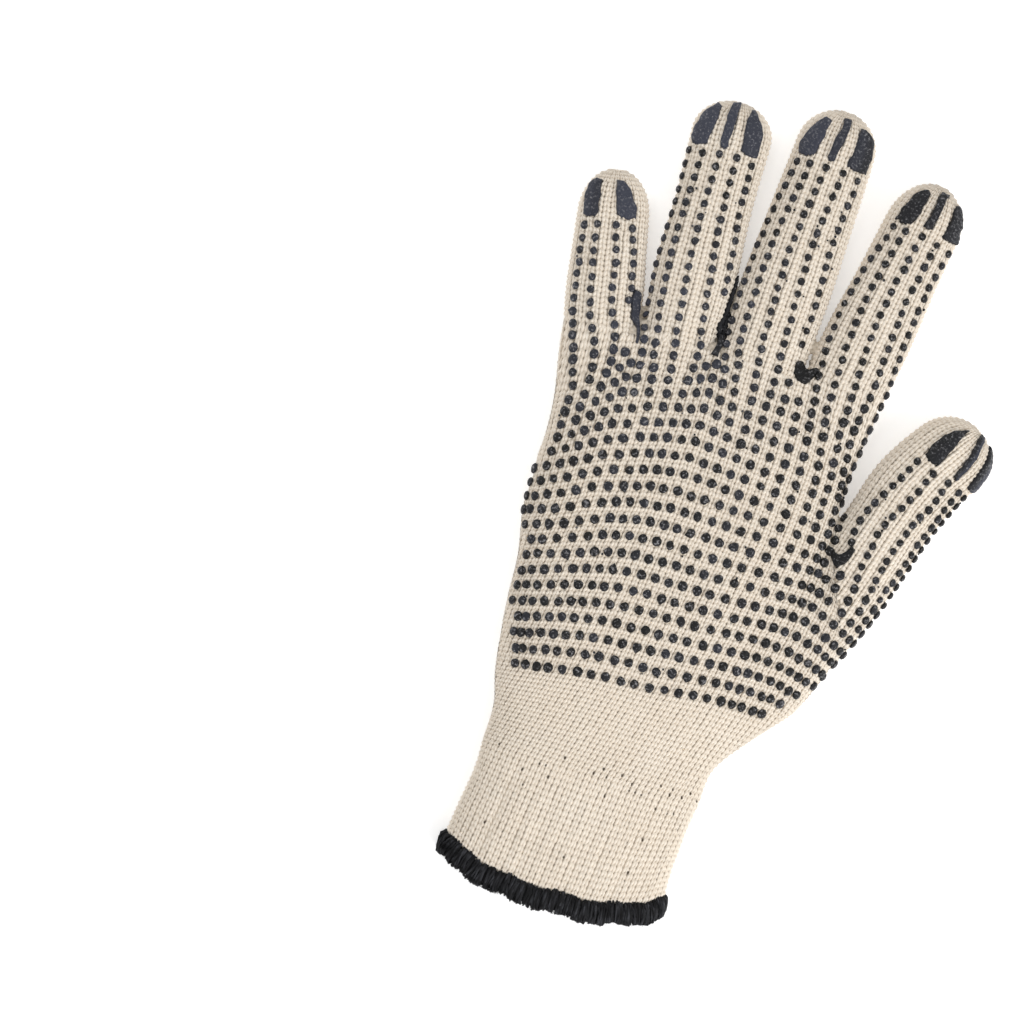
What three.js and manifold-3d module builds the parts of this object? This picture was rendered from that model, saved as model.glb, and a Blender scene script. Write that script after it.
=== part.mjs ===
// A seamless string-knit cotton work glove for the right hand, with dotted palm up, lying on a table.
// Millimetres. +X points to the thumb side, +Y to the fingertips and +Z up out of the dotted palm.
// The wrist line is y = 0 while the glove is built, and the origin ends at the middle of its foot.
import * as THREE from "three";
import { mergeVertices } from "three/addons/utils/BufferGeometryUtils.js";
import Module from "manifold-3d";

const wasm = await Module();
wasm.setup();

// Knit and clearances
const WALL = 1.6; // thickness of the string knit
const GAP = 0.3; // between pieces that are knitted or moulded together
const BAR_PROUD = 0.65; // thickness of the moulded bars and crotch patches

// Hand
const PALM_LENGTH = 128; // wrist line to the root of the middle finger
const PALM_WIDTH = 97.5; // across the four finger roots
const PALM_CROWN = 19; // greatest height of the palm as it lies
const FINGER_LENGTH = 79.5; // middle finger, root to tip
const FINGER_CROWN = 12.6; // height of the fingers at their roots
const ROOT_DEPTH = 16; // how far a finger's tube runs down inside the palm
const THUMB_LENGTH = 93; // from inside the palm to its tip
const THUMB_WIDTH = 25;
const THUMB_CROWN = 14;
const THUMB_LEAN = 19.7; // degrees away from the fingers

// Cuff and hem
const CUFF_LENGTH = 27; // wrist line to the hem, along the side edges
const CUFF_WIDTH = 66;
const CUFF_CROWN = 16.5;
const CUFF_BOW = 7; // how much further the middle of the cuff reaches than its sides
const HEM_HEIGHT = 6.4; // the overlocked band along the mouth
const HEM_PROUD = 1; // how far the band stands out of the knit on each side

// Section of every tube: a low arch over a flat foot
const EDGE_SHARE = 0.42; // height of the side edge, as a share of the crown
const TOP_POWER = 2.15; // 2 is an ellipse, more is squarer
const FOOT_POWER = 3.2;
const FOOT_DIP = 0.9; // cut off below the table, which leaves the foot flat
const HAND_SIDES = 36;
const TUBE_SIDES = 20;
const TIP_STEPS = [26, 46, 62, 76]; // degrees round a closed tip
const HEM_POWER = 3; // squareness of the hem's own section
const HEM_SIDES = 12;
const REACH = 400; // longer than the glove, for cutting blocks

// Palm: at is a share of PALM_LENGTH, left and right are shares of PALM_WIDTH, crown is a share of
// PALM_CROWN, and hand says how much of the row is palm (1) or still the wrist of the cuff (0).
const PALM_ROWS = [
  { at: 0.0, left: -0.361, right: 0.315, crown: 0.87, hand: 0 },
  { at: 0.09, left: -0.361, right: 0.346, crown: 0.9, hand: 0.5 },
  { at: 0.165, left: -0.389, right: 0.414, crown: 0.95, hand: 0.9 },
  { at: 0.24, left: -0.401, right: 0.484, crown: 0.98, hand: 1 },
  { at: 0.335, left: -0.415, right: 0.548, crown: 1.0, hand: 1 },
  { at: 0.44, left: -0.424, right: 0.582, crown: 1.0, hand: 1 },
  { at: 0.53, left: -0.449, right: 0.56, crown: 0.98, hand: 1 },
  { at: 0.625, left: -0.455, right: 0.5, crown: 0.95, hand: 1 },
  { at: 0.72, left: -0.449, right: 0.472, crown: 0.9, hand: 1 },
  { at: 0.81, left: -0.458, right: 0.466, crown: 0.84, hand: 1 },
  { at: 0.9, left: -0.482, right: 0.479, crown: 0.75, hand: 1 },
  { at: 1.0, left: -0.499, right: 0.497, crown: 0.62, hand: 1 },
  { at: 1.04, left: -0.5, right: 0.5, crown: 0.48, hand: 1 },
];

// Cuff: at is a share of CUFF_LENGTH below the wrist line, side is how far its middle wanders and
// wide its width, both shares of CUFF_WIDTH, and crown is a share of CUFF_CROWN.
const CUFF_ROWS = [
  { at: 0.0, side: 0, wide: 1.0, crown: 1.0 },
  { at: 0.28, side: -0.006, wide: 0.985, crown: 0.96 },
  { at: 0.55, side: -0.016, wide: 0.992, crown: 0.98 },
  { at: 0.8, side: -0.025, wide: 1.0, crown: 0.95 },
  { at: 1.0, side: -0.03, wide: 1.012, crown: 1.0 },
];

// Fingers: root is the share of PALM_WIDTH that each takes, level its root as a share of
// PALM_LENGTH, long a share of FINGER_LENGTH, crown a share of FINGER_CROWN, and low, middle and
// high its width part of the way up and round the length of its rounded tip, all shares of its root.
const FINGERS = [
  { name: "little", root: 0.234, level: 0.984, long: 0.59, lean: -10.7, crown: 0.9,
    low: 1.02, middle: 0.98, high: 0.94, round: 0.6 },
  { name: "ring", root: 0.232, level: 1.0, long: 0.918, lean: -2.2, crown: 0.98,
    low: 1.1, middle: 1.03, high: 1.07, round: 0.44 },
  { name: "middle", root: 0.272, level: 1.0, long: 1.0, lean: 2.8, crown: 1.0,
    low: 1.02, middle: 0.97, high: 0.9, round: 0.43 },
  { name: "index", root: 0.262, level: 1.012, long: 0.83, lean: 9.2, crown: 0.97,
    low: 1.0, middle: 0.93, high: 0.89, round: 0.56 },
];
// Along every finger: its crown and its width inside the palm and at the root, then up the finger.
const CROWN_ALONG = [1, 1, 0.96, 0.92, 0.9];
const WIDE_AT_ROOT = [0.94, 0.985];

// Thumb: at is a share of its length without the round tip, side is how far its spine wanders and
// wide its width, shares of THUMB_WIDTH, and crown is a share of THUMB_CROWN.
const THUMB_START = { across: 0.423, along: 0.344 }; // shares of PALM_WIDTH and PALM_LENGTH
const THUMB_CROTCH = { across: 0.493, along: 0.633 };
const THUMB_ROUND = 0.5; // of THUMB_WIDTH
const THUMB_ROWS = [
  { at: 0.0, side: 0.0, wide: 0.86, crown: 1.1 },
  { at: 0.185, side: 0.035, wide: 0.95, crown: 1.12 },
  { at: 0.37, side: 0.05, wide: 1.0, crown: 1.1 },
  { at: 0.555, side: 0.03, wide: 1.01, crown: 1.03 },
  { at: 0.685, side: 0.012, wide: 1.0, crown: 1.0 },
  { at: 0.82, side: 0.01, wide: 1.03, crown: 0.98 },
  { at: 0.93, side: 0.06, wide: 1.01, crown: 0.95 },
  { at: 1.0, side: 0.12, wide: 1.0, crown: 0.92 },
];

// Moulded fingertip bars: tip and foot are the places of a bar's two ends across the finger, from
// -1 at one edge to 1 at the other, broad its width in the same share, and near and far its ends
// behind the fingertip, as shares of the finger's root width.
const BARS = [
  { finger: "little", tip: -0.56, foot: -0.58, broad: 0.36, near: 0.2, far: 0.7 },
  { finger: "little", tip: 0.14, foot: 0.42, broad: 0.46, near: 0.16, far: 0.6 },
  { finger: "ring", tip: -0.6, foot: -0.61, broad: 0.36, near: 0.13, far: 0.7 },
  { finger: "ring", tip: -0.02, foot: -0.05, broad: 0.22, near: 0.05, far: 0.67 },
  { finger: "ring", tip: 0.56, foot: 0.58, broad: 0.4, near: 0.12, far: 0.68 },
  { finger: "middle", tip: -0.66, foot: -0.69, broad: 0.44, near: 0.15, far: 0.62 },
  { finger: "middle", tip: 0.0, foot: -0.08, broad: 0.3, near: 0.1, far: 0.63 },
  { finger: "middle", tip: 0.6, foot: 0.57, broad: 0.42, near: 0.17, far: 0.63 },
  { finger: "index", tip: -0.6, foot: -0.63, broad: 0.44, near: 0.14, far: 0.56 },
  { finger: "index", tip: 0.12, foot: 0.02, broad: 0.22, near: 0.08, far: 0.56 },
  { finger: "index", tip: 0.66, foot: 0.68, broad: 0.4, near: 0.19, far: 0.62 },
  { finger: "thumb", tip: -0.46, foot: -0.44, broad: 0.32, near: 0.18, far: 0.7 },
  { finger: "thumb", tip: 0.2, foot: 0.34, broad: 0.2, near: 0.07, far: 0.66 },
  { finger: "thumb", tip: 0.76, foot: 0.82, broad: 0.28, near: 0.14, far: 0.66 },
];
const BAR_POWER = 4; // corner squareness of a bar's outline
const BAR_SIDES = 12;

// Moulded patches in the crotches: wide and long are shares of FINGER_CROWN, and lift is how far the
// patch sits above the crotch, in the same share. The finger is the one on the little-finger side.
const WEBS = [
  { after: "little", wide: 0.28, long: 0.55, lift: 0.05 },
  { after: "ring", wide: 0.28, long: 0.55, lift: 0.05 },
  { after: "middle", wide: 0.5, long: 0.5, lift: 0.05 },
];
const THUMB_WEB = { wide: 0.5, long: 0.55, lift: -0.02 };

const UP = new THREE.Vector3(0, 0, 1);
const cotton = new THREE.MeshStandardMaterial({ color: 0xe8dece, roughness: 0.95, metalness: 0 });
const overlock = new THREE.MeshStandardMaterial({ color: 0x24242a, roughness: 0.9, metalness: 0 });
const pvc = new THREE.MeshStandardMaterial({ color: 0x2e2f36, roughness: 0.5, metalness: 0 });

const mix = (a, b, t) => a + (b - a) * t;
const bent = (value, power) => Math.sign(value) * Math.abs(value) ** (2 / power);

// The closed outline of a tube: a superellipse arch above the side edge and a squarer one below it,
// cut flat at the foot. Grow moves the whole outline outwards, or inwards where it is negative.
function sectionPoints({ centre, across, half, crown, grow, shrink = 1, sides, push = null }) {
  const edge = crown * EDGE_SHARE;
  const points = [];
  for (let k = 0; k < sides; k++) {
    const angle = (2 * Math.PI * k) / sides;
    const power = Math.sin(angle) >= 0 ? TOP_POWER : FOOT_POWER;
    const rise = bent(Math.sin(angle), power);
    const side = bent(Math.cos(angle), power);
    const depth = rise >= 0 ? crown - edge + grow : edge + grow + FOOT_DIP;
    const z = Math.max(edge + rise * depth * shrink, -grow);
    const point = centre.clone().addScaledVector(across, side * (half + grow) * shrink);
    point.z = z;
    if (push) point.y += push(side);
    points.push(point);
  }
  return points;
}

// A surface through rings of equal count, closed by a fan at each end or joined into one loop.
function ringSolid(rings, { loop = false, tips = [] } = {}) {
  const count = rings[0].length;
  const positions = rings.flat().flatMap((p) => [p.x, p.y, p.z]);
  const index = [];
  const bands = loop ? rings.length : rings.length - 1;
  for (let r = 0; r < bands; r++) {
    for (let k = 0; k < count; k++) {
      const a = r * count + k;
      const b = r * count + ((k + 1) % count);
      const c = ((r + 1) % rings.length) * count + k;
      const d = ((r + 1) % rings.length) * count + ((k + 1) % count);
      index.push(a, b, c, b, d, c);
    }
  }
  if (!loop) {
    const middleOf = (ring) => ring.reduce((sum, p) => sum.add(p), new THREE.Vector3()).divideScalar(count);
    [0, rings.length - 1].forEach((r, end) => {
      const middle = tips[end] ?? middleOf(rings[r]);
      const hub = positions.length / 3;
      positions.push(middle.x, middle.y, middle.z);
      for (let k = 0; k < count; k++) {
        const a = r * count + k;
        const b = r * count + ((k + 1) % count);
        index.push(...(end ? [hub, a, b] : [hub, b, a]));
      }
    });
  }
  const geometry = new THREE.BufferGeometry();
  geometry.setAttribute("position", new THREE.Float32BufferAttribute(positions, 3));
  geometry.setIndex(index);
  return solidOf(geometry);
}

function solidOf(geometry) {
  geometry.deleteAttribute("normal");
  geometry.deleteAttribute("uv");
  const merged = mergeVertices(geometry, 1e-4);
  const build = (triVerts) => new wasm.Manifold(new wasm.Mesh({
    numProp: 3, vertProperties: merged.attributes.position.array, triVerts,
  }));
  const solid = build(new Uint32Array(merged.index.array));
  if (solid.volume() > 0) return solid;
  return build(new Uint32Array(merged.index.array).reverse());
}

const union = (solids) => solids.reduce((sum, solid) => sum.add(solid));

// An outline in the plane of the table, carried up from one height to another.
function prism(points, low, high) {
  const shape = new THREE.Shape(points.map((p) => new THREE.Vector2(p.x, p.y)));
  const geometry = new THREE.ExtrudeGeometry(shape, { depth: high - low, bevelEnabled: false });
  return solidOf(geometry.translate(0, 0, low));
}

// The palm's rows in millimetres. The wrist end takes the cuff's own width and crown.
const wristMiddle = ((PALM_ROWS[0].left + PALM_ROWS[0].right) / 2) * PALM_WIDTH;
const palmRows = PALM_ROWS.map((row) => ({
  y: row.at * PALM_LENGTH,
  left: mix(wristMiddle - CUFF_WIDTH / 2, row.left * PALM_WIDTH, row.hand),
  right: mix(wristMiddle + CUFF_WIDTH / 2, row.right * PALM_WIDTH, row.hand),
  crown: mix(CUFF_CROWN, row.crown * PALM_CROWN, row.hand),
}));

function palmSolid(grow, { from = 0 } = {}) {
  const rings = palmRows.map((row, i) => sectionPoints({
    centre: new THREE.Vector3((row.left + row.right) / 2, i ? row.y : from, 0),
    across: new THREE.Vector3(1, 0, 0),
    half: (row.right - row.left) / 2,
    crown: row.crown, grow, sides: HAND_SIDES,
  }));
  return ringSolid(rings.map((ring) => [...ring].reverse()));
}

// A cuff outline: below counts down from the wrist line, and the middle bows out past the sides.
function cuffRing(at, grow, below = 0) {
  const row = CUFF_ROWS.findLastIndex((r) => r.at <= Math.min(at, 1));
  const next = Math.min(row + 1, CUFF_ROWS.length - 1);
  const span = CUFF_ROWS[next].at - CUFF_ROWS[row].at || 1;
  const t = (Math.min(at, 1) - CUFF_ROWS[row].at) / span;
  const value = (key) => mix(CUFF_ROWS[row][key], CUFF_ROWS[next][key], t);
  return sectionPoints({
    centre: new THREE.Vector3(wristMiddle + value("side") * CUFF_WIDTH, -at * CUFF_LENGTH - below, 0),
    across: new THREE.Vector3(1, 0, 0),
    half: (value("wide") * CUFF_WIDTH) / 2,
    crown: value("crown") * CUFF_CROWN, grow, sides: HAND_SIDES,
    push: (side) => -CUFF_BOW * at * (1 - side * side),
  });
}

// The cuff's tube, and its hollow where over carries it out past both ends.
function cuffSolid(grow, over = 0) {
  const rings = CUFF_ROWS.map((row) => cuffRing(row.at, grow));
  const slide = (ring, far) => ring.map((p) => new THREE.Vector3(p.x, p.y + far, p.z));
  rings[0] = slide(rings[0], over - GAP / 2);
  rings[rings.length - 1] = slide(rings.at(-1), -over);
  return ringSolid(rings);
}

// The hem is a rounded band carried round the mouth: its profile is a superellipse whose depth runs
// through the wall and whose height runs down past the cuff's end.
function hemSolid() {
  const rings = [];
  for (let s = 0; s < HEM_SIDES; s++) {
    const angle = (2 * Math.PI * s) / HEM_SIDES;
    const through = bent(Math.cos(angle), HEM_POWER) * (WALL / 2 + HEM_PROUD) - WALL / 2;
    const down = HEM_HEIGHT / 2 + GAP + (bent(Math.sin(angle), HEM_POWER) * HEM_HEIGHT) / 2;
    const ring = cuffRing(1, through, down);
    rings.push(ring.map((p) => new THREE.Vector3(p.x, p.y, Math.max(p.z, 0))));
  }
  return ringSolid(rings, { loop: true });
}

// A limb is a tube along a spine, closed by a rounded tip: rows carry its place, half width and crown.
function makeLimb({ name, start, lean, rows, length, width, round }) {
  const along = new THREE.Vector3(Math.sin(lean), Math.cos(lean), 0);
  const across = new THREE.Vector3(Math.cos(lean), -Math.sin(lean), 0);
  const places = rows.map((row) => start.clone()
    .addScaledVector(along, row.at * (length - round))
    .addScaledVector(across, row.side * width));
  const spine = new THREE.CatmullRomCurve3(places, false, "catmullrom", 0.5);
  return { name, rows, width, round, spine, spineLength: spine.getLength() };
}

function limbStation(limb, share) {
  const place = share * (limb.rows.length - 1);
  const row = Math.min(Math.floor(place), limb.rows.length - 2);
  const value = (key) => mix(limb.rows[row][key], limb.rows[row + 1][key], place - row);
  const tangent = limb.spine.getTangent(share);
  return {
    centre: limb.spine.getPoint(share),
    along: tangent,
    across: new THREE.Vector3().crossVectors(tangent, UP).normalize(),
    half: (value("wide") * limb.width) / 2,
    crown: value("crown"),
  };
}

function limbSolid(limb, grow) {
  const rings = limb.rows.map((_, i) => {
    const station = limbStation(limb, i / (limb.rows.length - 1));
    return sectionPoints({ ...station, grow, sides: TUBE_SIDES });
  });
  const end = limbStation(limb, 1);
  const round = limb.round + grow;
  for (const degrees of TIP_STEPS) {
    const angle = THREE.MathUtils.degToRad(degrees);
    const centre = end.centre.clone().addScaledVector(end.along, round * Math.sin(angle));
    rings.push(sectionPoints({ ...end, centre, grow, shrink: Math.cos(angle), sides: TUBE_SIDES }));
  }
  const tip = end.centre.clone().addScaledVector(end.along, round);
  tip.z = end.crown * EDGE_SHARE;
  return ringSolid(rings, { tips: [undefined, tip] });
}

// A place on a limb, behind its tip by so many millimetres and across by a share of its half width.
function limbPlace(limb, behind, side) {
  const inTip = behind < limb.round;
  const share = inTip ? 1 : 1 - (behind - limb.round) / limb.spineLength;
  const station = limbStation(limb, limb.spine.getUtoTmapping(share));
  const beyond = inTip ? limb.round - behind : 0;
  const shrink = Math.sqrt(1 - (beyond / limb.round) ** 2);
  return station.centre
    .addScaledVector(station.along, beyond)
    .addScaledVector(station.across, side * station.half * shrink);
}

// Finger roots stand side by side across the palm.
const rootEdges = [-PALM_WIDTH / 2];
FINGERS.forEach((finger) => rootEdges.push(rootEdges.at(-1) + finger.root * PALM_WIDTH));
const fingerLimbs = FINGERS.map((finger, i) => {
  const width = finger.root * PALM_WIDTH;
  const length = finger.long * FINGER_LENGTH + ROOT_DEPTH;
  const lean = THREE.MathUtils.degToRad(finger.lean);
  const start = new THREE.Vector3((rootEdges[i] + rootEdges[i + 1]) / 2, finger.level * PALM_LENGTH, 0)
    .addScaledVector(new THREE.Vector3(Math.sin(lean), Math.cos(lean), 0), -ROOT_DEPTH);
  const rootShare = ROOT_DEPTH / (length - finger.round * width);
  const wides = [...WIDE_AT_ROOT, finger.low, finger.middle, finger.high];
  const rows = wides.map((wide, k) => ({
    at: k ? mix(rootShare, 1, (k - 1) / (wides.length - 2)) : 0,
    side: 0, wide,
    crown: CROWN_ALONG[k] * finger.crown * FINGER_CROWN,
  }));
  return makeLimb({ name: finger.name, start, lean, rows, length, width, round: finger.round * width });
});
const thumbLean = THREE.MathUtils.degToRad(THUMB_LEAN);
const thumbLimb = makeLimb({
  name: "thumb",
  start: new THREE.Vector3(THUMB_START.across * PALM_WIDTH, THUMB_START.along * PALM_LENGTH, 0),
  lean: thumbLean,
  rows: THUMB_ROWS.map((row) => ({ ...row, crown: row.crown * THUMB_CROWN })),
  length: THUMB_LENGTH, width: THUMB_WIDTH, round: THUMB_ROUND * THUMB_WIDTH,
});
const limbs = [...fingerLimbs, thumbLimb];
const THUMB = fingerLimbs.length;

// The block above one finger's root, between the lines that part it from its neighbours. Each line
// starts at the crotch and leans by the mean of the two fingers.
function fingerCell(i, clear) {
  const level = FINGERS[i].level * PALM_LENGTH + clear;
  const crotch = (k) => {
    const outer = k === 0 || k === FINGERS.length;
    if (outer) return { foot: Math.sign(k - 1) * REACH, slope: 0 };
    const lean = (FINGERS[k - 1].lean + FINGERS[k].lean) / 2;
    return { foot: rootEdges[k], slope: Math.tan(THREE.MathUtils.degToRad(lean)) };
  };
  const [left, right] = [crotch(i), crotch(i + 1)];
  const a = left.foot + clear;
  const b = right.foot - clear;
  return prism([
    new THREE.Vector2(a, level), new THREE.Vector2(b, level),
    new THREE.Vector2(b + REACH * right.slope, level + REACH),
    new THREE.Vector2(a + REACH * left.slope, level + REACH),
  ], -REACH, REACH);
}

// Everything beyond the thumb's root plane, which passes through the thumb's crotch.
function beyondThumb(clear) {
  const block = new THREE.BoxGeometry(REACH, REACH, REACH);
  const at = thumbCrotch();
  block.translate(0, REACH / 2 + clear, 0);
  block.rotateZ(-thumbLean);
  return solidOf(block.translate(at.x, at.y, 0));
}

function thumbCrotch() {
  return new THREE.Vector3(THUMB_CROTCH.across * PALM_WIDTH, THUMB_CROTCH.along * PALM_LENGTH, 0);
}

const outers = limbs.map((limb) => limbSolid(limb, 0));
const hollows = limbs.map((limb) => limbSolid(limb, -WALL));
const pieces = [];
const addPiece = (name, solid, material) => pieces.push({ name, solid, material });

// Fingers
fingerLimbs.forEach((limb, i) => {
  const tube = outers[i].subtract(hollows[i]).intersect(fingerCell(i, GAP / 2));
  addPiece(limb.name + "_finger", tube, cotton);
});

// Thumb
const thumbTube = outers[THUMB].subtract(hollows[THUMB]).intersect(beyondThumb(GAP / 2));
addPiece("thumb", thumbTube.subtract(palmSolid(GAP)), cotton);

// Palm, with the lower ends of all five tubes grown into it
const thumbFoot = outers[THUMB].subtract(beyondThumb(-GAP / 2));
const palmWhole = union([palmSolid(0), ...outers.slice(0, THUMB), thumbFoot]);
const palmHollow = union([palmSolid(-WALL, { from: -WALL }), ...hollows]);
const aboveRoots = union(FINGERS.map((_, i) => fingerCell(i, -GAP / 2)));
const belowWrist = prism([
  new THREE.Vector2(-REACH, -REACH), new THREE.Vector2(REACH, -REACH),
  new THREE.Vector2(REACH, GAP / 2), new THREE.Vector2(-REACH, GAP / 2),
], -REACH, REACH);
addPiece("palm", palmWhole.subtract(palmHollow).subtract(aboveRoots).subtract(belowWrist), cotton);

// Cuff and hem
addPiece("cuff", cuffSolid(0).subtract(cuffSolid(-WALL, WALL)), cotton);
addPiece("overlock_hem", hemSolid(), overlock);

// Fingertip bars, moulded over the tube they lie on
const barNumber = {};
for (const bar of BARS) {
  const limb = limbs.find((l) => l.name === bar.finger);
  const [near, far] = [bar.near * limb.width, bar.far * limb.width];
  const outline = [];
  for (let k = 0; k < BAR_SIDES; k++) {
    const angle = (2 * Math.PI * (k + 0.5)) / BAR_SIDES;
    const share = (1 + bent(Math.sin(angle), BAR_POWER)) / 2;
    const side = mix(bar.foot, bar.tip, share) + (bent(Math.cos(angle), BAR_POWER) * bar.broad) / 2;
    outline.push(limbPlace(limb, mix(far, near, share), side));
  }
  const shell = limbSolid(limb, GAP + BAR_PROUD).subtract(limbSolid(limb, GAP));
  const foot = limb.rows.at(-1).crown * EDGE_SHARE;
  barNumber[bar.finger] = (barNumber[bar.finger] ?? 0) + 1;
  const name = "tip_bar_" + bar.finger + "_" + barNumber[bar.finger];
  addPiece(name, shell.intersect(prism(outline, foot, REACH)), pvc);
}

// Crotch patches, moulded over the tubes that meet there
function crotchPatch(place, lean, web, tubes) {
  const outline = new THREE.EllipseCurve(0, 0, web.wide * FINGER_CROWN, web.long * FINGER_CROWN)
    .getPoints(BAR_SIDES).slice(0, -1)
    .map((p) => p.rotateAround(new THREE.Vector2(), -lean).add(place));
  const skin = (grow) => union([...tubes.map((i) => limbSolid(limbs[i], grow)), palmSolid(grow)]);
  const foot = FINGER_CROWN * EDGE_SHARE;
  return skin(GAP + BAR_PROUD).subtract(skin(GAP)).intersect(prism(outline, foot, REACH));
}
WEBS.forEach((web) => {
  const i = FINGERS.findIndex((finger) => finger.name === web.after);
  const level = Math.max(FINGERS[i].level, FINGERS[i + 1].level) * PALM_LENGTH;
  const lean = THREE.MathUtils.degToRad((FINGERS[i].lean + FINGERS[i + 1].lean) / 2);
  const place = new THREE.Vector2(rootEdges[i + 1], level + web.lift * FINGER_CROWN);
  const name = "web_" + FINGERS[i].name + "_" + FINGERS[i + 1].name;
  addPiece(name, crotchPatch(place, lean, web, [i, i + 1]), pvc);
});
const crotch = thumbCrotch();
const thumbPlace = new THREE.Vector2(crotch.x, crotch.y + THUMB_WEB.lift * FINGER_CROWN);
addPiece("web_thumb", crotchPatch(thumbPlace, thumbLean, THUMB_WEB, [THUMB]), pvc);

function meshOf({ name, solid, material }) {
  const { vertProperties, triVerts } = solid.getMesh();
  const geometry = new THREE.BufferGeometry();
  geometry.setAttribute("position", new THREE.BufferAttribute(new Float32Array(vertProperties), 3));
  geometry.setIndex(new THREE.BufferAttribute(new Uint32Array(triVerts), 1));
  geometry.computeVertexNormals();
  const mesh = new THREE.Mesh(geometry, material);
  mesh.name = name;
  return mesh;
}

const glove = new THREE.Group();
const hand = new THREE.Group();
pieces.forEach((piece) => hand.add(meshOf(piece)));
glove.add(hand);

// The origin is the middle of the glove's outline, on the table.
const bounds = new THREE.Box3().setFromObject(hand);
const middle = bounds.getCenter(new THREE.Vector3());
hand.position.set(-middle.x, -middle.y, -bounds.min.z);

export default glove;
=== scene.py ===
import math
from functools import partial

import bmesh
import bpy
import numpy as np
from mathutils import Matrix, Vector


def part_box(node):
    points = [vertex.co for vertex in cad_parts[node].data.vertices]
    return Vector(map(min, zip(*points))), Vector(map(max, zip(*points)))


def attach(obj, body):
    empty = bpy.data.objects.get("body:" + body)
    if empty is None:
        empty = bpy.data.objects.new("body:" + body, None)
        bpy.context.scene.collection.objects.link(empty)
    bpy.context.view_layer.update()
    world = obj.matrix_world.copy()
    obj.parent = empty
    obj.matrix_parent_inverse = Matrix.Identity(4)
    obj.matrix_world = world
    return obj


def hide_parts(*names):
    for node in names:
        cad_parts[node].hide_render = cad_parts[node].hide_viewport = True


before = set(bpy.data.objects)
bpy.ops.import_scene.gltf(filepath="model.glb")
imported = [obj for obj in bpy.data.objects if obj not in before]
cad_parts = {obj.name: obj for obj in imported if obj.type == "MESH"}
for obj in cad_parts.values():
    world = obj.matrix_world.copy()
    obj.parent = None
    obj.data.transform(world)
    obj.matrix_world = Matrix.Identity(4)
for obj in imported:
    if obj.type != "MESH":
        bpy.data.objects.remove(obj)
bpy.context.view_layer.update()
print("frame loaded")

# All shapes below are worked out in millimetres in the hand's own frame: x = 0 is the middle of
# the knuckles, y = 0 the wrist line and z = 0 the table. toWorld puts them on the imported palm.
perMetre = 1000.0
palmOwnLow = (-48.55, 0.15)       # the palm's lowest x and y in the hand's own frame
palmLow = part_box("palm")[0]
handAt = np.array([palmLow[0] * perMetre - palmOwnLow[0], palmLow[1] * perMetre - palmOwnLow[1], 0.0])
noTris = np.zeros((0, 3), int)


def toWorld(points):
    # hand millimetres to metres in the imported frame
    return (np.asarray(points, dtype=float) + handAt) / perMetre


def bent(value, power):
    # sign(v) |v|^(2 / power), the corner of a superellipse
    return np.sign(value) * np.abs(value) ** (2 / power)


def smoothAlong(at, knots, values):
    # cubic Hermite through the knots, with slopes from their neighbours
    knots, values = np.asarray(knots, float), np.asarray(values, float)
    slopes = np.gradient(values, knots)
    at = np.clip(at, knots[0], knots[-1])
    k = np.clip(np.searchsorted(knots, at, side="right") - 1, 0, len(knots) - 2)
    span = knots[k + 1] - knots[k]
    t = (at - knots[k]) / span
    return ((2 * t**3 - 3 * t**2 + 1) * values[k] + (t**3 - 2 * t**2 + t) * span * slopes[k]
            + (3 * t**2 - 2 * t**3) * values[k + 1] + (t**3 - t**2) * span * slopes[k + 1])


def unit(vectors):
    # v / |v| along the last axis
    return vectors / np.maximum(np.linalg.norm(vectors, axis=-1, keepdims=True), 1e-9)


def lengthAlong(*coords):
    # running length of a line given by its coordinates: the sum of |step| so far, from 0
    steps = np.sqrt(sum(np.diff(v) ** 2 for v in coords))
    return np.concatenate([np.zeros(steps.shape[:-1] + (1,)), np.cumsum(steps, axis=-1)], axis=-1)


def pointsAlong(path, reach, at):
    # a smooth flat path at places along its running length
    return np.stack([smoothAlong(at, reach, path[:, k]) for k in (0, 1)], axis=1)


def meshObject(name, points, quads, tris, **attributes):
    # points in hand millimetres, quads and tris as index arrays, attributes as one float a point
    mesh = bpy.data.meshes.new(name)
    mesh.vertices.add(len(points))
    mesh.vertices.foreach_set("co", toWorld(points).ravel())
    mesh.loops.add(quads.size + tris.size)
    mesh.loops.foreach_set("vertex_index", np.concatenate([quads.ravel(), tris.ravel()]))
    mesh.polygons.add(len(quads) + len(tris))
    mesh.polygons.foreach_set("loop_start", np.concatenate([
        np.arange(len(quads)) * 4, quads.size + np.arange(len(tris)) * 3]))
    mesh.polygons.foreach_set("use_smooth", np.ones(len(quads) + len(tris), bool))
    mesh.update(calc_edges=True)
    for label, values in attributes.items():
        layer = mesh.attributes.new(label, "FLOAT", "POINT")
        layer.data.foreach_set("value", np.asarray(values, dtype=np.float32).ravel())
    piece = bpy.data.objects.new(name, mesh)
    bpy.context.scene.collection.objects.link(piece)
    return piece


def outwardFaces(piece):
    # turn every face of a closed mesh outward
    mesh = bmesh.new()
    mesh.from_mesh(piece.data)
    bmesh.ops.recalc_face_normals(mesh, faces=mesh.faces)
    mesh.to_mesh(piece.data)
    mesh.free()
    return piece


def joinParts(parts):
    # parts of (points, quads, tris) as one, each part's faces counted on from the last
    starts = np.cumsum([0] + [len(points) for points, _, _ in parts])
    return (np.vstack([points for points, _, _ in parts]),
            np.vstack([quads + start for (_, quads, _), start in zip(parts, starts)]),
            np.vstack([tris + start for (_, _, tris), start in zip(parts, starts)]))


def finishPiece(piece, material, slot, *nodes):
    # one material, the body that it goes with, and the CAD nodes that it stands for; the slot is not used
    piece.data.materials.clear()
    piece.data.materials.append(material)
    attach(piece, "root")
    if nodes:
        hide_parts(*nodes)
    return piece


# Shape of the hand

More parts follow.
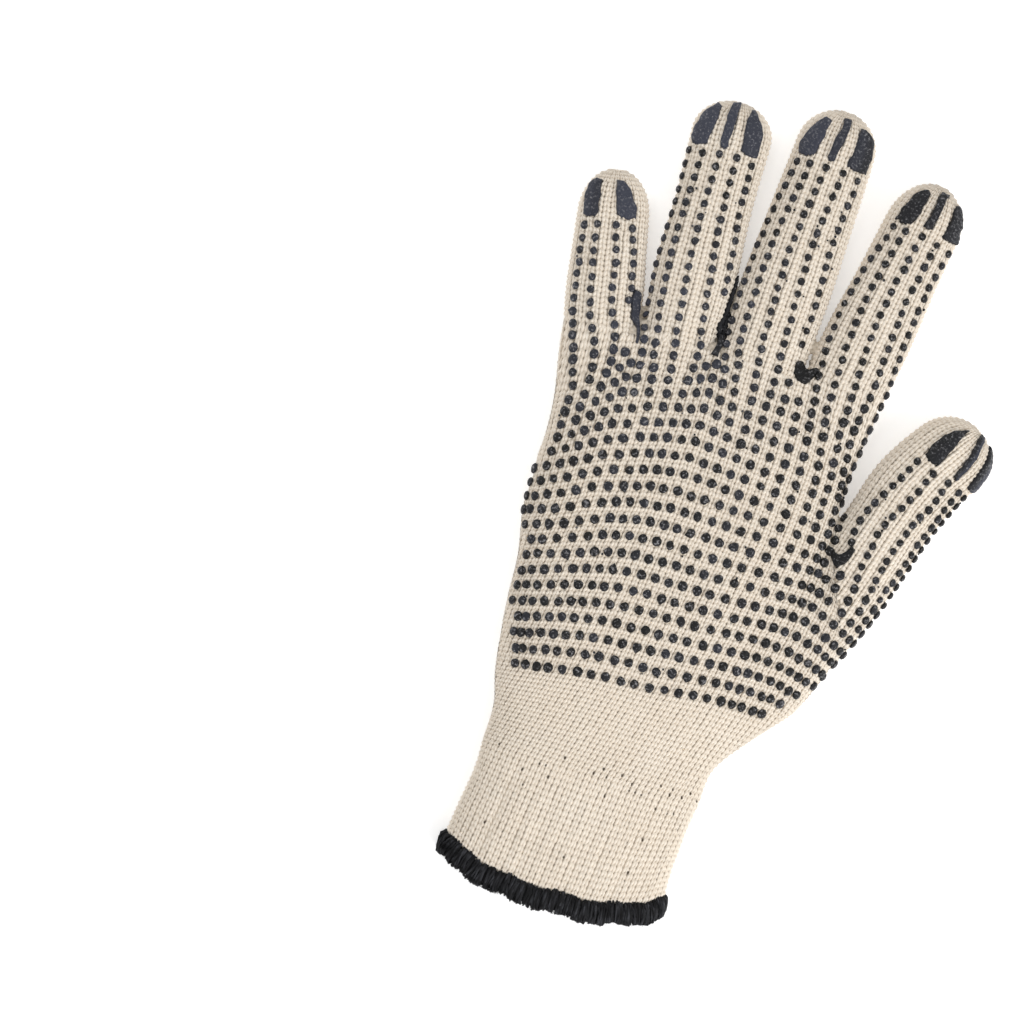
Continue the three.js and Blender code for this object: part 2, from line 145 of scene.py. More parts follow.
hand = {
    "edgeShare": 0.42,     # height of a side edge, as a share of the crown
    "topPower": 2.15,      # squareness of the arch over the side edge
    "footPower": 3.2,      # and of the belly under it
    "footDip": 0.9,        # cut off below the table
    "knitThickness": 1.6,
    "cuffEnd": -27.0,      # y of the mouth at its sides
    "cuffBow": 7.2,        # the middle of the mouth lies this much lower
    "bowPower": 2.8,       # and how squarely it turns up to its sides
    "rootLine": 128.0,     # y of the finger roots
    "blend": 0.8,          # softness of the valley where two tubes meet
    # rows from mouth to knuckles: y, left edge, right edge, crown
    "rows": [
        (-40.0, -40.1, 31.1, 16.5), (-27.0, -37.6, 29.2, 16.5), (-21.6, -36.9, 29.1, 15.7),
        (-14.9, -36.0, 29.4, 16.2), (-7.6, -35.1, 29.9, 15.8), (0.0, -35.2, 30.8, 16.5),
        (11.5, -35.2, 32.3, 16.8), (21.1, -37.7, 39.4, 17.9), (30.7, -39.1, 47.2, 18.6),
        (42.9, -40.5, 53.4, 19.0), (56.3, -41.3, 56.7, 19.0), (67.8, -43.8, 54.6, 18.6),
        (80.0, -44.4, 48.8, 18.0), (92.2, -43.8, 46.0, 17.1), (103.7, -44.7, 45.4, 16.0),
        (115.2, -47.0, 46.7, 14.2), (128.0, -48.7, 48.5, 11.8), (133.1, -48.8, 48.8, 9.1),
    ],
    # a finger: root x and y, lean in degrees, length, root width, crown, rounded tip,
    # and its width part of the way up: inside the palm, at the root, low, middle and high
    "fingers": {
        "little": (-37.3, 126.0, -10.7, 46.9, 22.8, 11.3, 13.7, (0.94, 0.985, 1.02, 0.98, 0.94)),
        "ring": (-14.6, 128.0, -2.2, 73.0, 22.6, 12.3, 10.0, (0.94, 0.985, 1.1, 1.03, 1.07)),
        "middle": (10.0, 128.0, 2.8, 79.5, 26.5, 12.6, 11.4, (0.94, 0.985, 1.02, 0.97, 0.9)),
        "index": (36.0, 129.5, 9.2, 66.0, 25.5, 12.2, 14.3, (0.94, 0.985, 1.0, 0.93, 0.89)),
    },
    "rootDepth": 16.0,
    "crownAlong": (1, 1, 0.96, 0.92, 0.9),
    "leastShrink": 0.02,       # keeps the very tip from vanishing
    "heelSpare": 0.6,          # a limb still counts this much behind its start
    "tipSpare": 0.7,           # and holds a dot this much short of its tip
    # the thumb: start, lean, length, width, crown, rounded tip, and rows along it as shares:
    # place, side wander, width, crown
    "thumb": (41.2, 44.0, 19.7, 93.0, 25.0, 14.0, 12.5),
    "thumbRows": [
        (0.0, 0.0, 0.86, 1.1), (0.185, 0.035, 0.95, 1.12), (0.37, 0.05, 1.0, 1.1),
        (0.555, 0.03, 1.01, 1.03), (0.685, 0.012, 1.0, 1.0), (0.82, 0.01, 1.03, 0.98),
        (0.93, 0.06, 1.01, 0.95), (1.0, 0.12, 1.0, 0.92),
    ],
    "thumbCrotch": (48.1, 81.0),
}


def roundShare(side, power):
    # (1 - |s|^p)^(1/p): from 1 in the middle of a section to 0 at its side edge
    return (1 - np.clip(np.abs(side), 0, 1) ** power) ** (1 / power)


def topAndBelly(side, crown, shrink=1.0):
    # heights of the arch over a section's side edge and of the belly under it
    edge = crown * hand["edgeShare"]
    top = edge + (crown - edge) * roundShare(side, hand["topPower"]) * shrink
    return top, np.maximum(edge - (edge + hand["footDip"]) * roundShare(side, hand["footPower"]) * shrink, 0)


def sectionPoint(angle, half, crown, grow, shrink):
    # a superellipse arch over a squarer belly that is cut flat by the table
    up = np.sin(angle) >= 0
    power = np.where(up, hand["topPower"], hand["footPower"])
    rise, side = bent(np.sin(angle), power), bent(np.cos(angle), power)
    edge = crown * hand["edgeShare"]
    depth = np.where(up, crown - edge + grow, edge + grow + hand["footDip"])
    return side * (half + grow) * shrink, np.maximum(edge + rise * depth * shrink, -grow)


def palmStation(y):
    table = np.array(hand["rows"])
    left, right, crown = (smoothAlong(y, table[:, 0], table[:, k]) for k in (1, 2, 3))
    return (left + right) / 2, (right - left) / 2, crown


def mouthBow(y, side):
    # how far a course of the cuff sags below its sides: bow * share * (1 - |side|^p)
    share = np.clip(np.asarray(y) / hand["cuffEnd"], 0, 1.4)
    return -hand["cuffBow"] * share * (1 - np.clip(np.abs(side), 0, 1) ** hand["bowPower"])


def makeLimb(start, lean, length, width, crown, tip, rows):
    # stations every half millimetre along the spine and on round the tip
    lean = math.radians(lean)
    along, across = np.array([math.sin(lean), math.cos(lean)]), np.array([math.cos(lean), -math.sin(lean)])
    reach = length - tip
    table = np.array(rows)
    t = np.linspace(0, length, int(length * 2) + 1)
    share = np.clip(t / reach, 0, 1)
    side, wide, high = (smoothAlong(share, table[:, 0], table[:, k]) for k in (1, 2, 3))
    centre = np.array(start) + share[:, None] * reach * along + (side * width)[:, None] * across
    heading = unit(np.gradient(centre, t, axis=0))
    last = int(np.searchsorted(t, reach)) - 1
    heading[last:] = heading[last - 1]
    centre[last:] = centre[last] + (t[last:] - t[last])[:, None] * heading[last]
    return {
        "t": t, "centre": centre, "along": heading,
        "across": np.stack([heading[:, 1], -heading[:, 0]], axis=1),
        "half": wide * width / 2, "crown": high * crown, "length": length, "tip": tip,
    }


def buildLimbs():
    limbs = {}
    for name, (x, y, lean, long, width, crown, tip, wides) in hand["fingers"].items():
        length = long + hand["rootDepth"]
        low = hand["rootDepth"] / (length - tip)
        places = [0.0] + [low + (1 - low) * k / 3 for k in range(4)]
        rows = [(at, 0.0, w, c) for at, w, c in zip(places, wides, hand["crownAlong"])]
        start = (x - hand["rootDepth"] * math.sin(math.radians(lean)),
                 y - hand["rootDepth"] * math.cos(math.radians(lean)))
        limbs[name] = makeLimb(start, lean, length, width, crown, tip, rows)
    x, y, lean, length, width, crown, tip = hand["thumb"]
    limbs["thumb"] = makeLimb((x, y), lean, length, width, crown, tip, hand["thumbRows"])
    return limbs


limbs = buildLimbs()


def tipShrink(limb, t):
    # sqrt(1 - (d / tip)^2), with d the distance past the start of the rounded tip
    beyond = np.maximum(t - (limb["length"] - limb["tip"]), 0) / limb["tip"]
    return np.sqrt(np.clip(1 - beyond**2, 0, 1))


def atLimb(limb, t):
    # the limb's values at distances t along its spine
    values = {key: np.interp(t, limb["t"], limb[key]) for key in ("half", "crown")}
    for key in ("centre", "along", "across"):
        values[key] = np.stack([np.interp(t, limb["t"], limb[key][:, k]) for k in (0, 1)], axis=-1)
    values["shrink"] = tipShrink(limb, t)
    return values


def nearLimb(limb, x, y):
    # nearest place on the spine: distance along it, distance across it and the half width there
    flat = np.stack([np.ravel(x), np.ravel(y)], axis=1)
    best = np.empty(len(flat), int)
    for k in range(0, len(flat), 20000):
        part = flat[k:k + 20000]
        away = ((part[:, None, :] - limb["centre"][None]) ** 2).sum(axis=2)
        best[k:k + 20000] = away.argmin(axis=1)
    off = flat - limb["centre"][best]
    across = (off * limb["across"][best]).sum(axis=1)
    t = limb["t"][best] + (off * limb["along"][best]).sum(axis=1)
    wide = np.interp(t, limb["t"], limb["half"]) * np.maximum(tipShrink(limb, t), hand["leastShrink"])
    return tuple(v.reshape(np.shape(x)) for v in (t, across, wide))


def pulledIn(name, x, y, inset):
    # a place nearer than the inset to one tube's outline, or outside it, comes back to the inset
    if name == "palm":
        middle, half, _ = palmStation(y)
        return middle + np.clip(x - middle, inset - half, half - inset), y
    t, across, _ = nearLimb(limbs[name], x, y)
    at = atLimb(limbs[name], np.clip(t, 0, limbs[name]["length"] - hand["tipSpare"]))
    reach = np.maximum(at["half"] * at["shrink"] - inset, 0)
    place = at["centre"] + np.clip(across, -reach, reach)[..., None] * at["across"]
    return place[..., 0], place[..., 1]


def tubeHeights(name, x, y):
    # height of the top and of the belly of one tube over each place, and nan outside it
    if name == "palm":
        middle, half, crown = palmStation(y)
        side, shrink = (x - middle) / half, 1.0
        beyond = y > hand["rows"][-1][0]
    else:
        limb = limbs[name]
        t, across, wide = nearLimb(limb, x, y)
        side, shrink = across / wide, np.maximum(tipShrink(limb, t), hand["leastShrink"])
        beyond = (t < -hand["heelSpare"]) | (t > limb["length"])
        crown = np.interp(t, limb["t"], limb["crown"])
    outside = beyond | (np.abs(side) >= 1)
    return tuple(np.where(outside, np.nan, z) for z in topAndBelly(side, crown, shrink))


tubeNames = ["palm"] + list(limbs)


def surfaceTop(x, y):
    # soft maximum of all tubes: k log(sum exp(z / k))
    k = hand["blend"]
    total = np.zeros(np.shape(x))
    for name in tubeNames:
        top = tubeHeights(name, x, y)[0]
        total += np.where(np.isnan(top), 0.0, np.exp(np.nan_to_num(top) / k))
    return np.where(total > 0, k * np.log(np.maximum(total, 1e-9)), np.nan)


def insideOthers(owner, points, margin):
    # true where a point lies inside a tube other than its own
    inside = np.zeros(points.shape[:-1], bool)
    for name in tubeNames:
        if name != owner:
            top, low = tubeHeights(name, points[..., 0], points[..., 1])
            z = points[..., 2]
            inside |= ~np.isnan(top) & (z < np.nan_to_num(top) - margin) & (z > np.nan_to_num(low) + margin)
    return inside


def beyondThumbRoot(x, y):
    # distance past the plane through the thumb's crotch, square to the thumb
    lean = math.radians(hand["thumb"][2])
    cx, cy = hand["thumbCrotch"]
    return (x - cx) * math.sin(lean) + (y - cy) * math.cos(lean)


def rootLevel(x):
    # y of the finger roots at each x: the little finger starts a little lower, the index higher
    return np.interp(x, [-30, -22, 20, 28], [126.0, 128.0, 128.0, 129.5])


print("hand tables ready")

# Materials


def newMaterial(name):
    material = bpy.data.materials.new(name)
    material.use_nodes = True
    tree = material.node_tree
    return material, tree, tree.nodes["Principled BSDF"]


def feed(tree, node, inputs):
    # link each input that is given a socket, and set the others
    for key, value in inputs.items():
        if isinstance(value, bpy.types.NodeSocket):
            tree.links.new(value, node.inputs[key])
        else:
            node.inputs[key].default_value = value


def addNode(tree, kind, inputs=None, **settings):
    node = tree.nodes.new(kind)
    for key, value in settings.items():
        setattr(node, key, value)
    feed(tree, node, inputs or {})
    return node


def mathNode(tree, operation, a, b=0.0, c=0.0, clamp=False):
    node = addNode(tree, "ShaderNodeMath", {0: a, 1: b, 2: c}, operation=operation, use_clamp=clamp)
    return node.outputs[0]


def mixColour(tree, factor, a, b, blend="MIX"):
    node = tree.nodes.new("ShaderNodeMix")
    node.data_type, node.blend_type = "RGBA", blend
    feed(tree, node, {0: factor, 6: a, 7: b})
    return node.outputs[2]


def attribute(tree, name):
    return addNode(tree, "ShaderNodeAttribute", attribute_name=name).outputs["Fac"]


def dressShader(tree, shader, colour, height, bumpStrength, rough, specular):
    # what every surface here has: a colour, a bump from a height in metres, roughness and shine
    bump = addNode(tree, "ShaderNodeBump", {"Height": height, "Strength": bumpStrength, "Distance": 1.0})
    feed(tree, shader, {"Base Color": colour, "Normal": bump.outputs["Normal"], "Roughness": rough,
                        "Specular IOR Level": specular})


def linearColour(red, green, blue):
    # screen values from 0 to 255 to scene-linear
    values = [v / 255 for v in (red, green, blue)]
    return tuple(v / 12.92 if v <= 0.04045 else ((v + 0.055) / 1.055) ** 2.4 for v in values) + (1.0,)


def makeFibreGroup():
    # fine fibres and slow patches of a spun yarn: Grain is a signed height, Patch runs 0 to 1
    group = bpy.data.node_groups.new("spunFibre", "ShaderNodeTree")
    for label, low in (("Fibres per mm", 2.5), ("Patches per mm", 0.1)):
        socket = group.interface.new_socket(label, in_out="INPUT", socket_type="NodeSocketFloat")
        socket.default_value = low
    group.interface.new_socket("Grain", in_out="OUTPUT", socket_type="NodeSocketFloat")
    group.interface.new_socket("Patch", in_out="OUTPUT", socket_type="NodeSocketFloat")
    enter, leave = addNode(group, "NodeGroupInput"), addNode(group, "NodeGroupOutput")
    place = addNode(group, "ShaderNodeTexCoord").outputs["Object"]
    fine, slow = (mathNode(group, "MULTIPLY", enter.outputs[k], perMetre) for k in (0, 1))
    grain = addNode(group, "ShaderNodeTexNoise", {"Vector": place, "Scale": fine, "Detail": 3.0,
                                                  "Roughness": 0.6})
    patch = addNode(group, "ShaderNodeTexNoise", {"Vector": place, "Scale": slow, "Detail": 2.0})
    signed = mathNode(group, "SUBTRACT", grain.outputs["Fac"], 0.5)
    group.links.new(signed, leave.inputs["Grain"])
    group.links.new(patch.outputs["Fac"], leave.inputs["Patch"])
    return group


fibreGroup = makeFibreGroup()


def fibreNode(tree, fibres, patches):
    node = addNode(tree, "ShaderNodeGroup", node_tree=fibreGroup)
    feed(tree, node, {"Fibres per mm": fibres, "Patches per mm": patches})
    return node.outputs["Grain"], node.outputs["Patch"]


cottonLook = {
    "light": linearColour(240, 231, 218), "warm": linearColour(233, 221, 205),
    "pitShade": linearColour(216, 202, 183), "holeShade": linearColour(84, 73, 60),
    "fibres": 3.2, "patches": 0.09, "speck": 0.35,            # how strongly the grain shows in the tone
    "plies": 5.0, "plyHeight": 0.00005, "grainHeight": 0.00005,
    "bump": 0.9, "rough": 0.93, "specular": 0.15, "sheen": 0.1, "sheenRough": 0.6,
}


def makeCotton():
    # cream string: lighter and warmer stitches, painted shade down in the pits and darker still in the eyelet
    # holes, plies twisted round it
    material, tree, shader = newMaterial("knitCotton")
    look = cottonLook
    grain, patch = fibreNode(tree, look["fibres"], look["patches"])
    slow = mathNode(tree, "SUBTRACT", patch, 0.5)
    tone = mathNode(tree, "ADD", attribute(tree, "tone"), slow, clamp=True)
    colour = mixColour(tree, tone, look["warm"], look["light"])
    # painted shade: up to 1 the attribute darkens a grain towards the pits' shade colour, past 1 towards the
    # darker shade of a hole
    pitShade = attribute(tree, "pitShade")
    colour = mixColour(tree, mathNode(tree, "MINIMUM", pitShade, 1.0), colour, look["pitShade"])
    colour = mixColour(tree, mathNode(tree, "SUBTRACT", pitShade, 1.0, clamp=True), colour, look["holeShade"])
    speck = mathNode(tree, "MULTIPLY_ADD", grain, look["speck"], 1.0)
    colour = mixColour(tree, 1.0, colour, addNode(tree, "ShaderNodeCombineColor", {
        0: speck, 1: speck, 2: speck}).outputs[0], "MULTIPLY")
    ply = mathNode(tree, "MULTIPLY", attribute(tree, "ply"), look["plies"] * 2 * math.pi)
    height = mathNode(tree, "MULTIPLY", mathNode(tree, "ABSOLUTE", mathNode(tree, "SINE", ply)),
                      look["plyHeight"])
    height = mathNode(tree, "ADD", height, mathNode(tree, "MULTIPLY", grain, look["grainHeight"]))
    dressShader(tree, shader, colour, height, look["bump"], look["rough"], look["specular"])
    feed(tree, shader, {"Sheen Weight": look["sheen"], "Sheen Roughness": look["sheenRough"]})
    return material


innerLook = {
    "colour": linearColour(228, 217, 201), "deep": linearColour(200, 187, 169), "warmShare": 0.3,
    "courses": 0.64, "wales": 0.48,       # a millimetre
    "fibres": 2.4, "patches": 0.12, "humpHeight": 0.0003, "grainHeight": 0.0001,
    "bump": 0.8, "rough": 0.95, "specular": 0.1,
}


def makeInnerKnit():
    # the purl side behind the stitches: rows of small humps, painted darker between them, and all of it
    # darker than the face as painted shade under the stitches
    material, tree, shader = newMaterial("knitBacking")
    look = innerLook
    grain, patch = fibreNode(tree, look["fibres"], look["patches"])
    place = addNode(tree, "ShaderNodeSeparateXYZ", {0: addNode(tree, "ShaderNodeTexCoord").outputs["Object"]})
    turn = perMetre * 2 * math.pi
    rows = mathNode(tree, "SINE", mathNode(tree, "MULTIPLY", place.outputs[1], look["courses"] * turn))
    wales = mathNode(tree, "SINE", mathNode(tree, "MULTIPLY", place.outputs[0], look["wales"] * turn))
    hump = mathNode(tree, "MULTIPLY_ADD", mathNode(tree, "MULTIPLY", rows, wales), 0.5, 0.5)
    # painted shade: the humps' hollows take the deeper colour
    colour = mixColour(tree, hump, look["deep"], look["colour"])
    colour = mixColour(tree, mathNode(tree, "MULTIPLY", patch, look["warmShare"]), colour, cottonLook["warm"])
    height = mathNode(tree, "ADD", mathNode(tree, "MULTIPLY", hump, look["humpHeight"]),
                      mathNode(tree, "MULTIPLY", grain, look["grainHeight"]))
    dressShader(tree, shader, colour, height, look["bump"], look["rough"], look["specular"])
    return material


pvcLook = {
    # the pale colour is a painted glint, strongest on the crests of the dots and bars
    "black": linearColour(14, 14, 15), "slate": linearColour(64, 67, 80), "pvcGlintColour": linearColour(140, 139, 142),
    "fibres": 1.35, "patches": 0.25, "pvcGlint": 6.0, "pvcGlintFrom": -0.22, "grainHeight": 0.0006,
    "rough": 0.2, "roughRise": 0.3, "bump": 0.9, "specular": 0.24,
}


def makePvc():
    # moulded rubbery plastic: near black or slate, with painted pale glints laid on its crests
    material, tree, shader = newMaterial("gripPvc")
    look = pvcLook
    grain, patch = fibreNode(tree, look["fibres"], look["patches"])
    colour = mixColour(tree, attribute(tree, "slate"), look["black"], look["slate"])
    # painted glint: patchy grain, laid on where the crest attribute is high
    pvcGlint = mathNode(tree, "MULTIPLY_ADD", grain, look["pvcGlint"], look["pvcGlintFrom"], clamp=True)
    pvcGlint = mathNode(tree, "MULTIPLY", pvcGlint, attribute(tree, "crest"))
    colour = mixColour(tree, pvcGlint, colour, look["pvcGlintColour"])
    rough = mathNode(tree, "MULTIPLY_ADD", patch, look["roughRise"], look["rough"])
    height = mathNode(tree, "MULTIPLY", grain, look["grainHeight"])
    dressShader(tree, shader, colour, height, look["bump"], rough, look["specular"])
    return material


hemLook = {
    "black": linearColour(14, 14, 16), "grey": linearColour(90, 91, 97), "fibres": 2.6, "patches": 0.35,
    "yarnHeight": 0.0002, "bump": 0.9, "rough": 0.75, "specular": 0.2,
}


def makeHemYarn():
    # textured black polyester, with painted grey glints along its filaments and fuzz
    material, tree, shader = newMaterial("hemYarn")
    look = hemLook
    grain, patch = fibreNode(tree, look["fibres"], look["patches"])
    # painted glint: the tone attribute sets how much of the grey shows
    glint = mathNode(tree, "MULTIPLY", attribute(tree, "tone"), mathNode(tree, "ADD", grain, 0.5))
    colour = mixColour(tree, glint, look["black"], look["grey"])
    height = mathNode(tree, "MULTIPLY", mathNode(tree, "ADD", grain, patch), look["yarnHeight"])
    dressShader(tree, shader, colour, height, look["bump"], look["rough"], look["specular"])
    return material


cotton, backing, pvc, hemYarn = makeCotton(), makeInnerKnit(), makePvc(), makeHemYarn()
print("materials ready")

# Base skin: the closed wall behind the stitches

skin = {
    "sink": 0.9, "voxel": 1.25, "wall": 0.75, "relax": 3, "lengthSteps": 120, "sides": 72,
    "palmSpan": (-38, 131), "limbFrom": 2.0, "limbStep": 1.5, "tipTurn": 0.48, "tipRings": 10,
}


def closedTube(rings):
    # faces between rings of points, with a fan at each end
    count, sides = rings.shape[:2]
    base = (np.arange(count - 1) * sides)[:, None] + np.arange(sides)[None, :]
    step = (np.arange(count - 1) * sides)[:, None] + (np.arange(sides) + 1)[None, :] % sides
    quads = np.stack([base, step, step + sides, base + sides], axis=2).reshape(-1, 4)
    points = np.vstack([rings.reshape(-1, 3), rings[0].mean(axis=0), rings[-1].mean(axis=0)])
    ring = np.arange(sides)
    nextRing = (ring + 1) % sides
    hub, last = count * sides, (count - 1) * sides
    fans = np.vstack([np.stack([np.full(sides, hub), nextRing, ring], axis=1),
                      np.stack([np.full(sides, hub + 1), last + ring, last + nextRing], axis=1)])
    return points, quads, fans


def buildSkin():
    grow = -skin["sink"]
    angle = np.linspace(0, 2 * np.pi, skin["sides"], endpoint=False)[None, :]
    y = np.linspace(*skin["palmSpan"], skin["lengthSteps"])[:, None] * np.ones_like(angle)
    y = y + mouthBow(y, bent(np.cos(angle), hand["topPower"]))
    middle, half, crown = palmStation(y)
    side, z = sectionPoint(angle, half, crown, grow, 1.0)
    parts = [closedTube(np.stack([middle + side, y, z], axis=2))]
    turn = np.linspace(0, skin["tipTurn"] * np.pi, skin["tipRings"])
    for limb in limbs.values():
        reach = limb["length"] - limb["tip"]
        straight = np.arange(skin["limbFrom"], reach - 0.5, skin["limbStep"])
        s = atLimb(limb, np.concatenate([straight, reach + (limb["tip"] + grow) * np.sin(turn)]))
        shrink = np.concatenate([np.ones(len(straight)), np.cos(turn)])
        side, z = sectionPoint(angle, s["half"][:, None], s["crown"][:, None], grow, shrink[:, None])
        flat = s["centre"][:, None, :] + side[..., None] * s["across"][:, None, :]
        parts.append(closedTube(np.concatenate([flat, z[..., None]], axis=2)))
    piece = outwardFaces(meshObject("knit_backing", *joinParts(parts)))
    remesh = piece.modifiers.new("remesh", "REMESH")
    remesh.mode, remesh.voxel_size, remesh.use_smooth_shade = "VOXEL", skin["voxel"] / perMetre, True
    relax = piece.modifiers.new("relax", "SMOOTH")
    relax.iterations, relax.factor = skin["relax"], 0.5
    applyModifiers(piece)
    openMouth(piece)
    wall = piece.modifiers.new("wall", "SOLIDIFY")
    wall.thickness, wall.offset, wall.use_even_offset = skin["wall"] / perMetre, -1, False
    applyModifiers(piece)
    return piece


def applyModifiers(piece):
    # keep the modified mesh and drop the modifiers
    graph = bpy.context.evaluated_depsgraph_get()
    fresh = bpy.data.meshes.new_from_object(piece.evaluated_get(graph), depsgraph=graph)
    old = piece.data
    piece.modifiers.clear()
    piece.data = fresh
    fresh.name = piece.name
    bpy.data.meshes.remove(old)
    fresh.polygons.foreach_set("use_smooth", np.ones(len(fresh.polygons), bool))


def openMouth(piece):
    # cut away every face beyond the bowed line of the mouth
    mesh = bmesh.new()
    mesh.from_mesh(piece.data)
    count = len(mesh.verts)
    spots = np.array([v.co for v in mesh.verts]) * perMetre - handAt
    middle, half, _ = palmStation(np.full(count, hand["cuffEnd"]))
    end = hand["cuffEnd"] + mouthBow(hand["cuffEnd"], (spots[:, 0] - middle) / half)
    mesh.verts.ensure_lookup_table()
    gone = [mesh.verts[int(k)] for k in np.nonzero(spots[:, 1] < end)[0]]
    bmesh.ops.delete(mesh, geom=gone, context="VERTS")
    mesh.to_mesh(piece.data)
    mesh.free()


knitNodes = ["little_finger", "ring_finger", "middle_finger", "index_finger", "thumb", "palm", "cuff"]
skinPiece = finishPiece(buildSkin(), backing, "knit_cotton", *knitNodes)
print("backing", len(skinPiece.data.polygons), "faces")

# Grip dots, charted on the palm: the chart's own origin lies at chartAt

